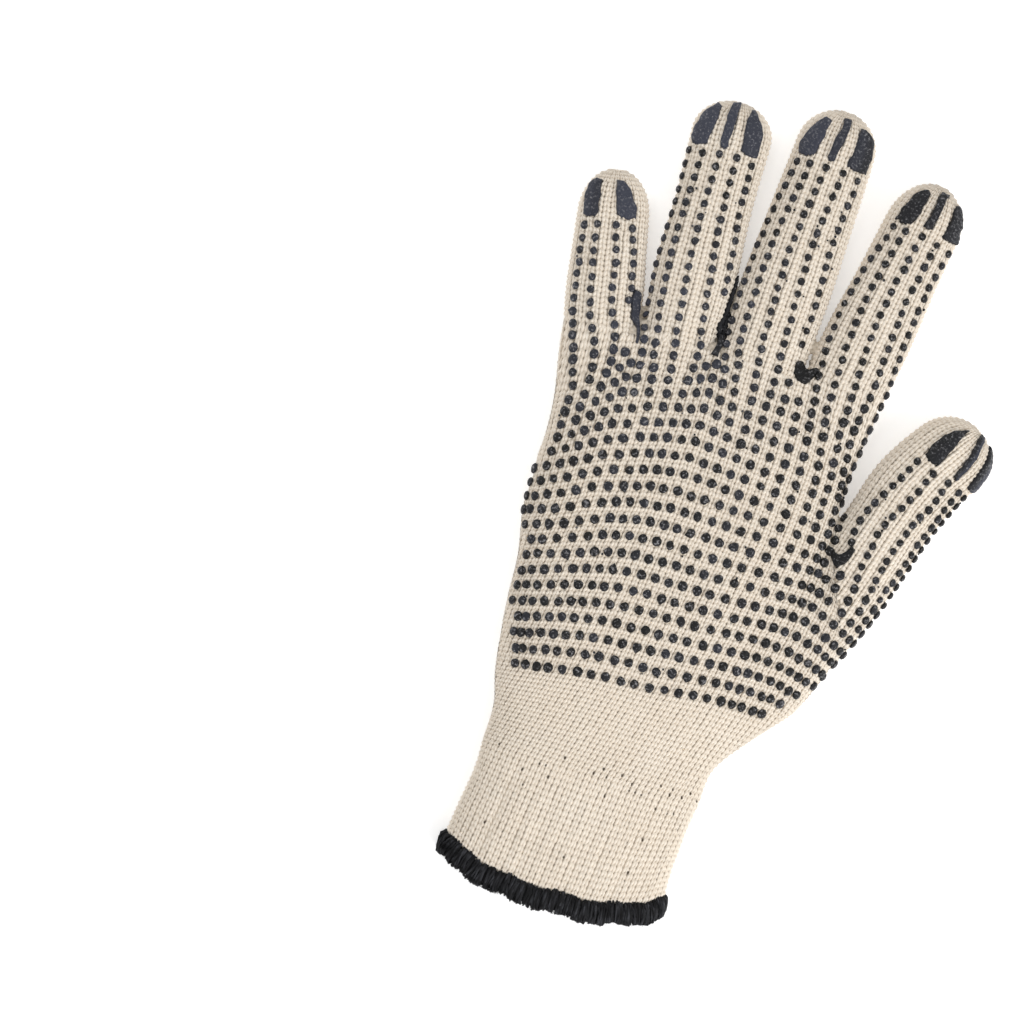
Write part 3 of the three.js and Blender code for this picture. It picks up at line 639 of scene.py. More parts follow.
dotChart = {
    "chartAt": (5.25, 86.0),
    "radius": (1.29, 1.08),       # on the palm, on the fingers
    "height": 0.66,
    "rowKnots": (0, 3, 6, 9, 12, 15, 18, 19),
    "acrossKnots": (-52, -46, -39, -31.5, -23, -15.5, -7, 1, 10, 20, 30, 38, 46, 54, 60),
    # height of a row of dots across the palm, one line for each knot row
    "rowHeights": [
        (-64.5, -63, -61.4, -60, -58.4, -57.3, -56.8, -56.5, -55.3, -54.3, -54, -54.5, -57, -60, -62),
        (-50.5, -49.1, -47.3, -45.1, -42.8, -41.6, -41, -40.7, -40.3, -39.6, -39.1, -40.1, -42.1, -44.5,
         -46.5),
        (-37.2, -35.4, -33, -30.5, -27.8, -26.2, -25.7, -25.7, -25.7, -25.3, -24.6, -24.8, -27.8, -31.5,
         -34),
        (-23.2, -21.4, -19.2, -15.9, -12.6, -10.9, -10.2, -10.2, -10.5, -10.7, -10.7, -10.5, -14, -18.2,
         -22),
        (-10.5, -8.1, -5, -0.7, 2.2, 4.2, 5.4, 5.1, 4.3, 3.6, 2.7, 1.2, -2, -6, -9),
        (1.5, 4.8, 8.9, 13.2, 16.6, 18.7, 20.6, 19.2, 18.3, 16.9, 15.2, 12.3, 9, 5, 2),
        (12, 16.2, 21.5, 27.4, 29.5, 31.3, 34.8, 32.1, 31.3, 31, 27.1, 23.6, 20, 16, 13),
        (15.5, 20.6, 25.6, 31.8, 32.8, 35, 39, 36, 35.2, 34.5, 31, 27.6, 24, 20, 17),
    ],
    "columnKnots": (0, 5, 10, 15, 19),
    # a column: first row, last row, x at the knot rows, then its path on up the finger and
    # whether a gap parts the two
    "columns": [
        (10, 13, (-49.4, -49.4, -49.4, -49.2, -49.2), []),
        (9, 19, (-47, -47, -46.9, -45.5, -45.4),
         [(-47.4, 26.8), (-48, 30.4), (-49.3, 33.4), (-50.4, 36.6), (-52.1, 43), (-53.4, 50), (-55, 60),
          (-56.1, 66.8)]),
        (4, 19, (-43, -44.1, -43.7, -41.8, -41.5),
         [(-42, 30.6), (-44.2, 37.1), (-46.3, 41), (-48.6, 50), (-51, 60), (-52.2, 68)]),
        (2, 19, (-40.4, -41.5, -40, -38.3, -37.3),
         [(-37.1, 33.7), (-38.6, 40), (-41.3, 46), (-44.4, 60), (-47.1, 69.2)]),
        (1, 19, (-39.4, -38.3, -36, -34.7, -34), [(-33.8, 34.5)]),
        (0, 19, (-38, -34.6, -31.9, -31.2, -31.2), []),
        (0, 19, (-35, -30.8, -27.5, -27.2, -28.6),
         [(-29.2, 37.3), (-30.6, 44), (-32.4, 58), (-33.3, 75), (-33.2, 96.7)]),
        (0, 19, (-31.8, -27.1, -23.4, -22.7, -24.6),
         [(-25.8, 36.1), (-26.6, 42.5), (-28.9, 60), (-29.6, 78), (-29.2, 97)]),
        (0, 19, (-28.5, -23.5, -19.7, -18.5, -19.6),
         [(-19.9, 36.8), (-21, 43.5), (-23, 60), (-24.2, 78), (-24.3, 97.7)]),
        (0, 19, (-24.6, -19.8, -15.8, -14.6, -13.7),
         [(-13.2, 38.7), (-14.3, 47.7), (-16, 60), (-18.2, 78), (-19.3, 97.9)]),
        (0, 19, (-20.2, -15.9, -12, -10.9, -10.2), [(-10.3, 38.6)]),
        (0, 19, (-16.3, -11.6, -8, -6.9, -7.4), []),
        (0, 19, (-11.8, -7.4, -4, -2.6, -4.6),
         [(-5.7, 41.9), (-6.7, 50), (-6.7, 60), (-5.5, 80), (-2.2, 102.6)]),
        (0, 19, (-7.4, -3.2, 0.1, 1.5, -0.8),
         [(-1, 39.5), (-2.1, 43), (-2.7, 60), (-1.8, 80), (1.8, 102.8)]),
        (0, 19, (-3.3, 0.9, 4.5, 6.1, 5), [(4.8, 38.8), (4.1, 43), (3.5, 60), (3.6, 80), (6.4, 102.7)]),
        (0, 19, (0.95, 5.1, 8.8, 10.3, 10), [(10.3, 38.9), (9.9, 48), (9.5, 60), (9.3, 80), (11.8, 102.7)]),
        (0, 19, (5.4, 9.1, 13.5, 15, 14.5), [(14.3, 40)]),
        (0, 18, (9.7, 13.8, 18.2, 20, 18.8), [(18.5, 35.5)]),
        (0, 19, (14, 18.5, 23.3, 24.8, 23.2),
         [(22.8, 37.4), (22, 48), (22.4, 60), (25, 75), (30.4, 92.6)]),
        (0, 19, (18, 22.5, 28.5, 30, 27.6),
         [(27.3, 36), (27.3, 44), (27.8, 60), (29.8, 75), (34.1, 92.3)]),
        (0, 19, (22, 26.8, 33, 34.3, 33), [(33, 33.4), (33.2, 45), (33.6, 60), (35.5, 75), (39, 91.8)]),
        (0, 19, (25.3, 30.5, 37, 38.2, 36.9),
         [(36.9, 31.5), (38.6, 45), (39.4, 60), (40.8, 75), (43.9, 90.8)]),
        (0, 19, (28.3, 34, 39.3, 41, 40.6), [(41, 31), (42.8, 42), (43.8, 60), (45.2, 75), (48.2, 89.5)]),
        (0, 9, (31.8, 37.7, 41.5, 41.5, 41.5), []),
        (0, 10, (34.5, 41.2, 44.8, 46, 46), []),
        (1, 10, (37.6, 44.5, 49.9, 52, 52),
         [(49.8, -6.4), (50.2, -3.3), (51.3, 3.2), (53, 9.5), (56.5, 15.2), (59.4, 21), (62.1, 26.9)]),
        (2, 10, (39.8, 47.5, 54, 56, 56),
         [(55, -9), (56.2, -2.8), (57, 0.5), (59.5, 6.6), (61.6, 12.7), (65.2, 18.9), (67.2, 25.6)]),
        (3, 10, (43.6, 49.8, 57.3, 60, 60),
         [(58.8, -11), (60.5, -6), (62.1, -1.7), (63.6, 4.5), (66.2, 11), (68.5, 17), (71, 23.7)]),
        (4, 10, (48, 52.2, 59.2, 63, 63),
         [(60.9, -12.6), (62.8, -6.8), (65, -0.1), (67.6, 6.2), (69.6, 12.9), (71.8, 19.5), (73.4, 22.9)]),
    ],
    # short columns that start on a finger or on the thumb above its crotch
    "fingerColumns": [
        [(-36.9, 49.5), (-38.9, 60), (-42.2, 70.1)],
        [(-10.9, 60), (-12.4, 75), (-13.9, 88), (-14.3, 97.3)],
        [(15.2, 52), (15.5, 60), (15, 80), (16.6, 102)],
        [(45.1, 0.9), (45.2, 4.7), (47.1, 11.5), (51.9, 20.2), (57, 29)],
    ],
    "fingerPitch": 3.75,
    "thumbPitch": 3.35,
    "thumbEnd": (52, 30),      # a path that ends right of this x and under this y is on the thumb
    "fineFrom": 34, "fineOver": 14,       # where finger dots begin to shrink, and over what length
    "linePitch": 1.2,          # close-set points that stand for the pressed lines
}


def alongPath(path, pitch, first):
    # points along a smooth path at even steps near the pitch, the last one on its end
    path = np.array(path, float)
    reach = lengthAlong(path[:, 0], path[:, 1])
    if reach[-1] < 0.6 * pitch:
        return path[:0]
    steps = max(int(round((reach[-1] - first) / pitch)), 0)
    at = np.linspace(first, reach[-1], steps + 1) if steps else reach[-1:]
    return pointsAlong(path, reach, at)


def chartDots(linePitch=None):
    # every dot's place, or with a pitch given the columns on the fingers as close-set points
    rows = np.arange(dotChart["rowKnots"][-1] + 1)
    thumbX, thumbY = dotChart["thumbEnd"]
    table = np.array(dotChart["rowHeights"])
    heights = np.stack([smoothAlong(rows, dotChart["rowKnots"], table[:, k])
                        for k in range(table.shape[1])], axis=1)
    spots, fine = [], []
    for first, last, places, path in dotChart["columns"]:
        own = np.arange(first, last + 1)
        x = smoothAlong(own, dotChart["columnKnots"], places)
        y = np.array([np.interp(v, dotChart["acrossKnots"], heights[r]) for r, v in zip(own, x)])
        spots.append(np.stack([x, y], axis=1))
        fine.append(np.zeros(len(own)))
        if path:
            thumb = path[-1][0] > thumbX and path[-1][1] < thumbY
            pitch = dotChart["thumbPitch" if thumb else "fingerPitch"]
            more = alongPath([(x[-1], y[-1])] + path, linePitch or pitch, pitch)
            spots.append(more)
            shrunk = (more[:, 1] - dotChart["fineFrom"]) / dotChart["fineOver"]
            fine.append(np.ones(len(more)) if thumb else np.clip(shrunk, 0, 1))
    for path in dotChart["fingerColumns"]:
        thumb = path[-1][1] < thumbY
        more = alongPath(path, linePitch or dotChart["thumbPitch" if thumb else "fingerPitch"], 0)
        spots.append(more)
        fine.append(np.ones(len(more)))
    return np.vstack(spots) + np.array(dotChart["chartAt"]), np.concatenate(fine)


dotSpots, dotFine = chartDots()
dotLines, _ = chartDots(dotChart["linePitch"])
print("dots charted", len(dotSpots))


slopes = {"step": 0.35, "fall": 1.5, "steepest": 3.5}     # fall: the drop taken where the glove ends


def surfaceFrame(x, y):
    # point, outward normal and two tangents of the upper surface, by central differences
    step, steepest = slopes["step"], slopes["steepest"]
    z = surfaceTop(x, y)
    around = []
    for dx, dy in ((step, 0), (-step, 0), (0, step), (0, -step)):
        near = surfaceTop(x + dx, y + dy)
        around.append(np.where(np.isnan(near), z - slopes["fall"], near))
    slopeX = np.clip((around[0] - around[1]) / (2 * step), -steepest, steepest)
    slopeY = np.clip((around[2] - around[3]) / (2 * step), -steepest, steepest)
    normal = unit(np.stack([-slopeX, -slopeY, np.ones_like(z)], axis=-1))
    first = unit(np.stack([normal[..., 2], np.zeros_like(z), -normal[..., 0]], axis=-1))
    return np.stack([x, y, z], axis=-1), normal, first, np.cross(normal, first)


dotShape = {
    "sides": 12, "seed": 11, "nudge": 0.11, "inset": 0.45, "palmFirst": 2.0,
    # rings from the foot up: share of the radius, share of the height, how far it counts as crest, which sets
    # the painted glint
    "profile": ((1.0, -0.45, 0.0), (1.03, 0.12, 0.15), (0.88, 0.52, 0.75), (0.5, 0.9, 1.0)),
    "crestUp": 1.02, "footDown": 0.5, "long": 1.06, "wobble": 0.055, "spread": 0.045, "highSpread": 0.08,
    "tails": 0.1, "tailReach": 0.36,
    "specks": 70, "speckOff": (1.7, 2.1), "speckRadius": (0.2, 0.38),      # spilt plastic beside the dots
    # greyest round the roots of the little and ring fingers, blackest on the index and thumb
    "slateAt": (-24, 136), "slateReach": (34, 30), "slate": (0.06, 0.5), "blacker": (24, 0.05),
    "slateSpread": 0.1,
}


def ontoHand(x, y):
    # a dot that lies too near the outline, or outside it, comes back on to the nearest tube's side
    best = np.full(x.shape, 9.0)
    newX, newY = x.copy(), y.copy()
    for name in tubeNames:
        px, py = pulledIn(name, x, y, dotShape["inset"])
        away = np.hypot(px - x, py - y) * (1.0 if name == "palm" else dotShape["palmFirst"])
        nearer = (away < best) & ((name != "palm") | (y < hand["rootLine"]))
        newX, newY = np.where(nearer, px, newX), np.where(nearer, py, newY)
        best = np.where(nearer, away, best)
    return newX, newY


def dotPlaces(rng):
    # the charted dots, each nudged a little, and specks near some of them: x, y and radius
    near = rng.integers(0, len(dotSpots), dotShape["specks"])
    turn = rng.uniform(0, 2 * np.pi, len(near))
    off = rng.uniform(*dotShape["speckOff"], len(near))
    x, y = (dotSpots[:, k] + rng.normal(0, dotShape["nudge"], len(dotSpots)) for k in (0, 1))
    x = np.concatenate([x, dotSpots[near, 0] + off * np.cos(turn)])
    y = np.concatenate([y, dotSpots[near, 1] + off * np.sin(turn)])
    big, small = dotChart["radius"]
    specks = rng.uniform(*dotShape["speckRadius"], len(near))
    return (*ontoHand(x, y), np.concatenate([big + (small - big) * dotFine, specks]))


def dotSlate(point, rng):
    # low + rise exp(-d^2), with d the distance from slateAt in units of slateReach
    (atX, atY), (reachX, reachY) = dotShape["slateAt"], dotShape["slateReach"]
    far = np.hypot((point[:, 0] - atX) / reachX, (point[:, 1] - atY) / reachY)
    (low, rise), (fromX, less) = dotShape["slate"], dotShape["blacker"]
    slate = low + rise * np.exp(-far**2) - less * (point[:, 0] > fromX)
    return np.clip(slate + rng.normal(0, dotShape["slateSpread"], len(point)), 0, 1)


def buildDots():
    # dome: rings of radius r(a) = R (1 + sum w cos(k a + p)) at the profile's shares, and a crest
    rng = np.random.default_rng(dotShape["seed"])
    x, y, radius = dotPlaces(rng)
    point, normal, first, second = surfaceFrame(x, y)
    seen = ~np.isnan(point[:, 2])
    point, normal, first, second, radius = (v[seen] for v in (point, normal, first, second, radius))
    count, sides = len(point), dotShape["sides"]
    high = dotChart["height"] * rng.normal(1, dotShape["highSpread"], count) * np.clip(radius, 0.5, 1)
    radius = radius * rng.normal(1, dotShape["spread"], count)
    angle = np.linspace(0, 2 * np.pi, sides, endpoint=False)
    edge = np.ones((count, sides))
    for k in (2, 3, 4):
        edge += rng.normal(0, dotShape["wobble"] / k**0.5, (count, 1)) * np.cos(
            k * angle + rng.uniform(0, 2 * np.pi, (count, 1)))
    # some have run out into a short tail
    tail = rng.integers(0, sides, (count, 1)) == np.arange(sides)
    edge += dotShape["tailReach"] * tail * (rng.uniform(0, 1, (count, 1)) < dotShape["tails"])
    flat = (np.cos(angle)[None, :, None] * first[:, None, :]
            + np.sin(angle)[None, :, None] * second[:, None, :] * dotShape["long"])
    rings = []
    for wide, up, _ in dotShape["profile"]:
        reach = (radius[:, None] * edge * wide)[..., None]
        rings.append(point[:, None, :] + reach * flat + (high * up)[:, None, None] * normal[:, None, :])
    crest = point + (high * dotShape["crestUp"])[:, None] * normal
    foot = point - (high * dotShape["footDown"])[:, None] * normal
    levels = len(rings)
    block = np.concatenate([np.concatenate(rings, axis=1), crest[:, None], foot[:, None]], axis=1)
    size = levels * sides + 2
    ring = np.arange(sides)
    after = (ring + 1) % sides
    quads = np.vstack([np.stack([k * sides + ring, k * sides + after, (k + 1) * sides + after,
                                 (k + 1) * sides + ring], axis=1) for k in range(levels - 1)])
    top = (levels - 1) * sides
    tris = np.vstack([np.stack([top + ring, top + after, np.full(sides, levels * sides)], axis=1),
                      np.stack([after, ring, np.full(sides, levels * sides + 1)], axis=1)])
    start = (np.arange(count) * size)[:, None, None]
    # the crest share places the painted glint on the top of each dome
    crestShare = np.concatenate([np.repeat([row[2] for row in dotShape["profile"]], sides), [1.0, 0.0]])
    return meshObject("grip_dots", block.reshape(-1, 3), (quads[None] + start).reshape(-1, 4),
                      (tris[None] + start).reshape(-1, 3), slate=np.repeat(dotSlate(point, rng), size),
                      crest=np.tile(crestShare, count))


finishPiece(buildDots(), pvc, "pvc")
print("dots built")

# Knit: every stitch is two short grains of yarn that lean apart

knit = {
    "wale": 2.08, "course": 1.56, "seed": 5,
    "foot": 0.11, "lean": 0.205, "leanPower": 0.85, "reach": 1.5, "tuck": 0.4,    # shares of a cell
    "fat": 0.325, "thick": 0.48, "lift": 0.38, "sink": 0.74,      # fat as a share of a wale, others mm
    "ridge": 0.5, "jitter": 0.028, "fullness": 0.7, "flatBody": 0.75,
    "press": 0.32, "pressReach": 1.8, "pressOver": 4.0,           # only stitches above this height
    "tone": (0.6, 0.09), "liftSpread": 0.08, "fatSpread": 0.05, "plyRun": 0.55,
    "tipBands": ((0.16, 0.38, 2), (-1.0, 0.16, 4)),      # shrink from and to, and one wale in how many
    "lap": (0.6, 0.2),        # how far the sections run on over their joints, and over the thumb's
    "thumbSide": 0.955,       # the thumb's stitches also cover the palm beyond this share of its side
    "buried": 1.3, "deep": 2.5,       # stitches this far inside a neighbour, or under it, are left out
    "topShare": 0.23,         # the share of a section on each side of its crown that a valley can lift
}


def latticeNormals(points):
    # cross product of the two directions of the lattice
    alongV, alongU = np.gradient(points, axis=0), np.gradient(points, axis=1)
    return unit(np.cross(alongU, alongV))


def sampleLattice(grid, v, u):
    # bilinear between the lattice's nodes
    j = np.clip(v.astype(int), 0, grid.shape[0] - 2)
    i = np.clip(u.astype(int), 0, grid.shape[1] - 2)
    fv, fu = (v - j)[..., None], (u - i)[..., None]
    return ((1 - fv) * ((1 - fu) * grid[j, i] + fu * grid[j, i + 1])
            + fv * ((1 - fu) * grid[j + 1, i] + fu * grid[j + 1, i + 1]))


def pressedBy(points, spots):
    # 0 to 1: how close a place is to one of the spots, exp(-(d / reach)^2)
    out = np.zeros(len(points))
    for k in range(0, len(points), 4000):
        part = points[k:k + 4000, None, :2]
        away = ((part - spots[None]) ** 2).sum(axis=2).min(axis=1)
        out[k:k + 4000] = np.exp(-away / knit["pressReach"] ** 2)
    return out


def stitchGrains(points, keep, rings, seed, spots):
    # two grains a cell: u = 0.5 +- d with d = foot + lean (1 - q)^leanPower, v along the wale, and
    # height lift sin(pi q)^fullness - ridge (2 d)^2 / 2, so that each wale stands up as one round cord
    rng = np.random.default_rng(seed)
    normals = latticeNormals(points)
    row, wale = np.nonzero(keep)
    row, wale = np.tile(row, 2), np.tile(wale, 2)
    hands = np.repeat([-1.0, 1.0], len(row) // 2)
    count = len(row)
    middle = sampleLattice(points, row + 0.5, wale + 0.5)
    press = np.where(middle[:, 2] > knit["pressOver"], pressedBy(middle, spots), 0.0)
    tone = np.clip(rng.normal(*knit["tone"], count), 0, 1)
    share = np.linspace(0, 1, rings)[None, :]
    shift = rng.normal(0, knit["jitter"], (count, 1))
    offset = knit["foot"] + knit["lean"] * (1 - share) ** knit["leanPower"]
    u = 0.5 + hands[:, None] * offset + shift
    v = -knit["tuck"] + knit["reach"] * share + rng.normal(0, knit["jitter"], (count, 1))
    body = np.full((1, 2), knit["flatBody"])
    if rings > 2:
        body = np.sin(np.pi * np.clip(share, 0.001, 0.999)) ** knit["fullness"]
    lift = knit["lift"] * rng.normal(1, knit["liftSpread"], (count, 1)) - knit["press"] * press[:, None]
    height = -knit["sink"] + lift * body - knit["ridge"] * (2 * offset) ** 2 * 0.5
    fat = knit["fat"] * (0.6 + 0.4 * body) * rng.normal(1, knit["fatSpread"], (count, 1))
    thick = knit["thick"] * (0.5 + 0.5 * body) * np.ones((count, 1))
    corners, heights = [], []
    for du, dn in ((-1, 0), (0, 1), (1, 0), (0, -1)):
        place = sampleLattice(points, row[:, None] + v, wale[:, None] + u + du * fat)
        upward = sampleLattice(normals, row[:, None] + v, wale[:, None] + u + du * fat)
        corners.append(place + (height + dn * thick)[..., None] * upward)
        # painted shade: darker low round each grain, towards its ends and on its outer side
        outer = np.maximum(du * hands, 0)[:, None]
        heights.append(0.25 * (1 - dn) + 0.4 * (1 - body) + 0.35 * outer)
    block = np.stack(corners, axis=2)
    pitShade = np.clip(np.stack(heights, axis=2), 0, 1)
    ply = share[..., None] * knit["plyRun"] + np.array([0, 0.25, 0.5, 0.25])[None, None, :]
    size = rings * 4
    walls = [(k * 4 + c, k * 4 + (c + 1) % 4, (k + 1) * 4 + (c + 1) % 4, (k + 1) * 4 + c)
             for k in range(rings - 1) for c in range(4)]
    ends = [(3, 2, 1, 0), (size - 4, size - 3, size - 2, size - 1)]
    quads = np.array(walls + ends)[None] + (np.arange(count) * size)[:, None, None]
    return {"points": block.reshape(-1, 3), "quads": quads.reshape(-1, 4), "tone": np.repeat(tone, size),
            "pitShade": pitShade.reshape(-1), "ply": np.broadcast_to(ply, (count, rings, 4)).reshape(-1)}


eyelet = {"radius": (0.26, 0.42), "wide": 0.75, "long": 1.2, "top": 0.1, "bottom": 0.6,
          "stray": (0.1, 0.05), "holeShadeLevel": 2.0}


def eyelets(points, rows, chance, seed):
    # small holes left open between the wales of a few courses, each a sunk six-sided plug coloured with
    # painted shade
    rng = np.random.default_rng(seed)
    row, wale = np.nonzero(rng.uniform(0, 1, (len(rows), points.shape[1] - 2)) < chance)
    v = np.array(rows)[row] + rng.normal(0, eyelet["stray"][0], len(row))
    u = wale + 1.0 + rng.normal(0, eyelet["stray"][1], len(row))
    centre, upward = sampleLattice(points, v, u), sampleLattice(latticeNormals(points), v, u)
    angle = np.linspace(0, 2 * np.pi, 6, endpoint=False)
    size = rng.uniform(*eyelet["radius"], (len(row), 1))
    ring = np.repeat(centre[:, None, :], 6, axis=1)
    ring[..., 0] += size * eyelet["wide"] * np.cos(angle)
    ring[..., 1] += size * eyelet["long"] * np.sin(angle)
    plug = np.concatenate([ring - eyelet[end] * upward[:, None] for end in ("top", "bottom")], axis=1)
    sides = [(k, k + 6, (k + 1) % 6 + 6, (k + 1) % 6) for k in range(6)]
    faces = np.array([(0, 1, 2, 3), (3, 4, 5, 0), (9, 8, 7, 6), (6, 11, 10, 9)] + sides)
    quads = faces[None] + (np.arange(len(row)) * 12)[:, None, None]
    count = len(row) * 12
    return {"points": plug.reshape(-1, 3), "quads": quads.reshape(-1, 4), "tone": np.zeros(count),
            "pitShade": np.full(count, eyelet["holeShadeLevel"]), "ply": np.zeros(count)}


def knitPiece(name, parts):
    points, quads, tris = joinParts([(part["points"], part["quads"], noTris) for part in parts])
    layers = {key: np.concatenate([part[key] for part in parts]) for key in ("tone", "pitShade", "ply")}
    finishPiece(meshObject(name, points, quads, tris, **layers), cotton, "knit_cotton")
    print(name, 2 * len(quads), "triangles")


def limbLattice(limb, first, wales):
    # courses at equal steps over the crown, and wales at equal steps round each section
    t = np.linspace(first, limb["length"], 900)
    s = atLimb(limb, t)
    radius = (s["half"] + s["crown"] / 2) / 2 * s["shrink"]
    over = lengthAlong(t, radius)
    rows = np.interp(np.arange(0, over[-1] - 0.3, knit["course"]), over, t)
    s = atLimb(limb, rows)
    angle = 1.5 * np.pi - np.linspace(0, 2 * np.pi, 241)
    half, crown, shrink = (s[key][:, None] for key in ("half", "crown", "shrink"))
    side, z = sectionPoint(angle[None, :], half, crown, 0.0, shrink)
    arc = lengthAlong(side, z)
    out = np.empty((len(rows), wales + 1, 3))
    for k in range(len(rows)):
        at = np.linspace(0, arc[k, -1], wales + 1)
        across, high = np.interp(at, arc[k], side[k]), np.interp(at, arc[k], z[k])
        out[k, :, :2] = s["centre"][k] + across[:, None] * s["across"][k]
        out[k, :, 2] = high
    top = surfaceTop(out[..., 0], out[..., 1])
    upper = np.linspace(0, 1, wales + 1)
    onTop = np.abs(upper - 0.5) < knit["topShare"]
    raised = np.maximum(out[..., 2], np.nan_to_num(top))
    lift = np.where(onTop[None, :] & ~np.isnan(top), raised, out[..., 2])
    joint = lift - out[..., 2] > knit["deep"]
    out[..., 2] = np.where(joint, out[..., 2], lift)
    return out, rows, s["shrink"]


def cellMiddles(points):
    return (points[:-1, :-1] + points[1:, :-1] + points[:-1, 1:] + points[1:, 1:]) / 4


limbWales = {"little": 23, "ring": 24, "middle": 27, "index": 26, "thumb": 27}


def knitLimb(name):
    limb = limbs[name]
    thumb = name == "thumb"
    first = 6.0 if thumb else hand["rootDepth"] - 4
    points, rows, shrink = limbLattice(limb, first, limbWales[name])
    middles = cellMiddles(points)
    x, y = middles[..., 0], middles[..., 1]
    keep = ~insideOthers(name, middles, knit["buried"])
    lap = knit["lap"][0]
    if thumb:
        middle, half, _ = palmStation(y)
        keep &= (beyondThumbRoot(x, y) > -lap) | (x > middle + knit["thumbSide"] * half)
    else:
        keep &= y > rootLevel(x) - lap
    keep &= (shrink[:-1] > knit["tipBands"][0][1])[:, None]
    parts = [stitchGrains(points, keep, 3, knit["seed"] + len(name), dotLines)]
    # past the tip's shoulder half the wales go on, and near the very end a quarter
    for low, high, fewer in knit["tipBands"]:
        wales = max(limbWales[name] // fewer, 4)
        nodes = np.linspace(0, limbWales[name], wales + 1)
        spots = sampleLattice(points, np.arange(len(rows))[:, None] * np.ones(wales + 1),
                              np.ones(len(rows))[:, None] * nodes)
        band = (shrink[:-1] > low) & (shrink[:-1] <= high)
        if band.any():
            parts.append(stitchGrains(spots, np.repeat(band[:, None], wales, axis=1), 3, 90 + fewer,
                                      dotLines))
    knitPiece("knit_" + name, parts)


for limbName in limbs:
    knitLimb(limbName)

sheet = {
    # the palm's middle wale from the wrist to the knuckles, and how tight the wales lie
    "levels": (-40, 0, 29.5, 55, 81, 105, 134), "middle": (-7.5, -2.0, 6.2, 10.4, 14.1, 15.6, 15.6),
    "gauge": (0.93, 0.93, 0.95, 0.98, 1.0, 1.02, 1.03),
    "backMiddle": (-3, -2.2, 1, 6, 3, 1, 0),
    "overEdge": 0.6,           # wales that run on past the side edge
    "ribHeight": 0.32,         # soft upright folds of the gathered cuff
    "foldLean": 0.17, "foldGrow": 14, "folds": ((1, 0.93, 0), (0.6, 1.51, 1), (0.5, 0.41, 2)),
    # sag of a course across the palm at four levels, on the same knots
    "sagLevels": (0, 29.5, 60.3, 91.1, 118.1, 134),
    "sagAcross": (-50, -41, -26, -10, -2, 6, 25, 43, 65),
    "sag": [
        (0, 0, 0, 0, 0, 0, 0, 0, 0), (-8, -6.5, -3.4, -0.8, -0.3, 0, 2.2, 2, -5),
        (-12, -9.7, -4.6, -0.4, 0, 0, 0.4, 0.9, -8.3), (-16, -13.2, -5.6, -0.9, 0.3, 0, -1.5, -3.9, -14),
        (-15, -12, -3.6, -0.7, 1.6, 0, -1.1, -7, -12), (-2, -1.5, -0.6, 0, 0, 0, 0, -0.6, -1.5),
    ],
}


def courseSag(x, y):
    table = np.array(sheet["sag"], float)
    across = np.stack([np.interp(x, sheet["sagAcross"], row) for row in table], axis=0)
    place = np.interp(y, sheet["sagLevels"], np.arange(len(table)))
    low = np.clip(place.astype(int), 0, len(table) - 2)
    share = place - low
    picked = np.take_along_axis(across, low[None], axis=0)[0]
    after = np.take_along_axis(across, low[None] + 1, axis=0)[0]
    return picked * (1 - share) + after * share


def sheetLattice(low, high, front, wales):
    # wales at one gauge measured along the section from the middle wale out to both sides
    rows = np.arange(low, high, knit["course"])
    out = np.empty((len(rows), 2 * wales + 1, 3))
    over = np.empty((len(rows), 2 * wales + 1))
    angle = np.linspace(np.pi, 0, 181) if front else np.linspace(np.pi, 2 * np.pi, 181)
    middle, half, crown = palmStation(rows)
    lean = np.interp(rows, sheet["levels"], sheet["middle"] if front else sheet["backMiddle"])
    gauge = np.interp(rows, sheet["levels"], sheet["gauge"]) * knit["wale"]
    spare = gauge * sheet["overEdge"]
    for k in range(len(rows)):
        side, z = sectionPoint(angle, half[k], crown[k], 0.0, 1.0)
        arc = lengthAlong(side, z)
        start = np.interp(lean[k] - middle[k], side, arc)
        at = start + np.arange(-wales, wales + 1) * gauge[k]
        out[k, :, 0] = middle[k] + np.interp(at, arc, side)
        out[k, :, 2] = np.interp(at, arc, z)
        over[k] = np.maximum(-at, at - arc[-1]) / spare[k]
    out[..., 1] = rows[:, None] + courseSag(out[..., 0], np.repeat(rows[:, None], out.shape[1], axis=1))
    sides = (out[..., 0] - middle[:, None]) / half[:, None]
    out[..., 1] += mouthBow(rows[:, None] * np.ones_like(sides), sides)
    # wales past the edge turn down on to the side
    out[..., 2] -= np.clip(over * spare[:, None], 0, None) * (1 if front else -1)
    if not front:
        out = out[:, ::-1]
        over = over[:, ::-1]
    return out, over


def onPalm(points):
    # what the palm keeps: below the finger roots, and below the thumb's root plane outside it
    x, y = points[..., 0], points[..., 1]
    lap, thumbLap = knit["lap"]
    thumb = (beyondThumbRoot(x, y) > -thumbLap) & (x > hand["thumbCrotch"][0] - lap)
    return (y < rootLevel(x) + lap) & ~thumb


def refitToPalm(points, front):
    # the sagged courses moved in y, so x is kept inside the outline there and z is read again
    x, y = points[..., 0], points[..., 1]
    middle, half, crown = palmStation(y)
    side = np.clip((x - middle) / half, -0.9995, 0.9995)
    x = middle + side * half
    own, low = topAndBelly(side, crown)
    if not front:
        return np.stack([x, y, low], axis=-1)
    top = surfaceTop(x, y)
    z = np.where(np.isnan(top), own, np.maximum(own, np.nan_to_num(top)))
    # folds that lean with the cuff: three sines across it, growing from the wrist to the mouth
    lower = x - sheet["foldLean"] * y
    folds = sum(size * np.sin(lower * rate + start) for size, rate, start in sheet["folds"])
    share = np.clip(-y / sheet["foldGrow"], 0, 1)
    return np.stack([x, y, z + sheet["ribHeight"] * 0.5 * folds * share], axis=-1)


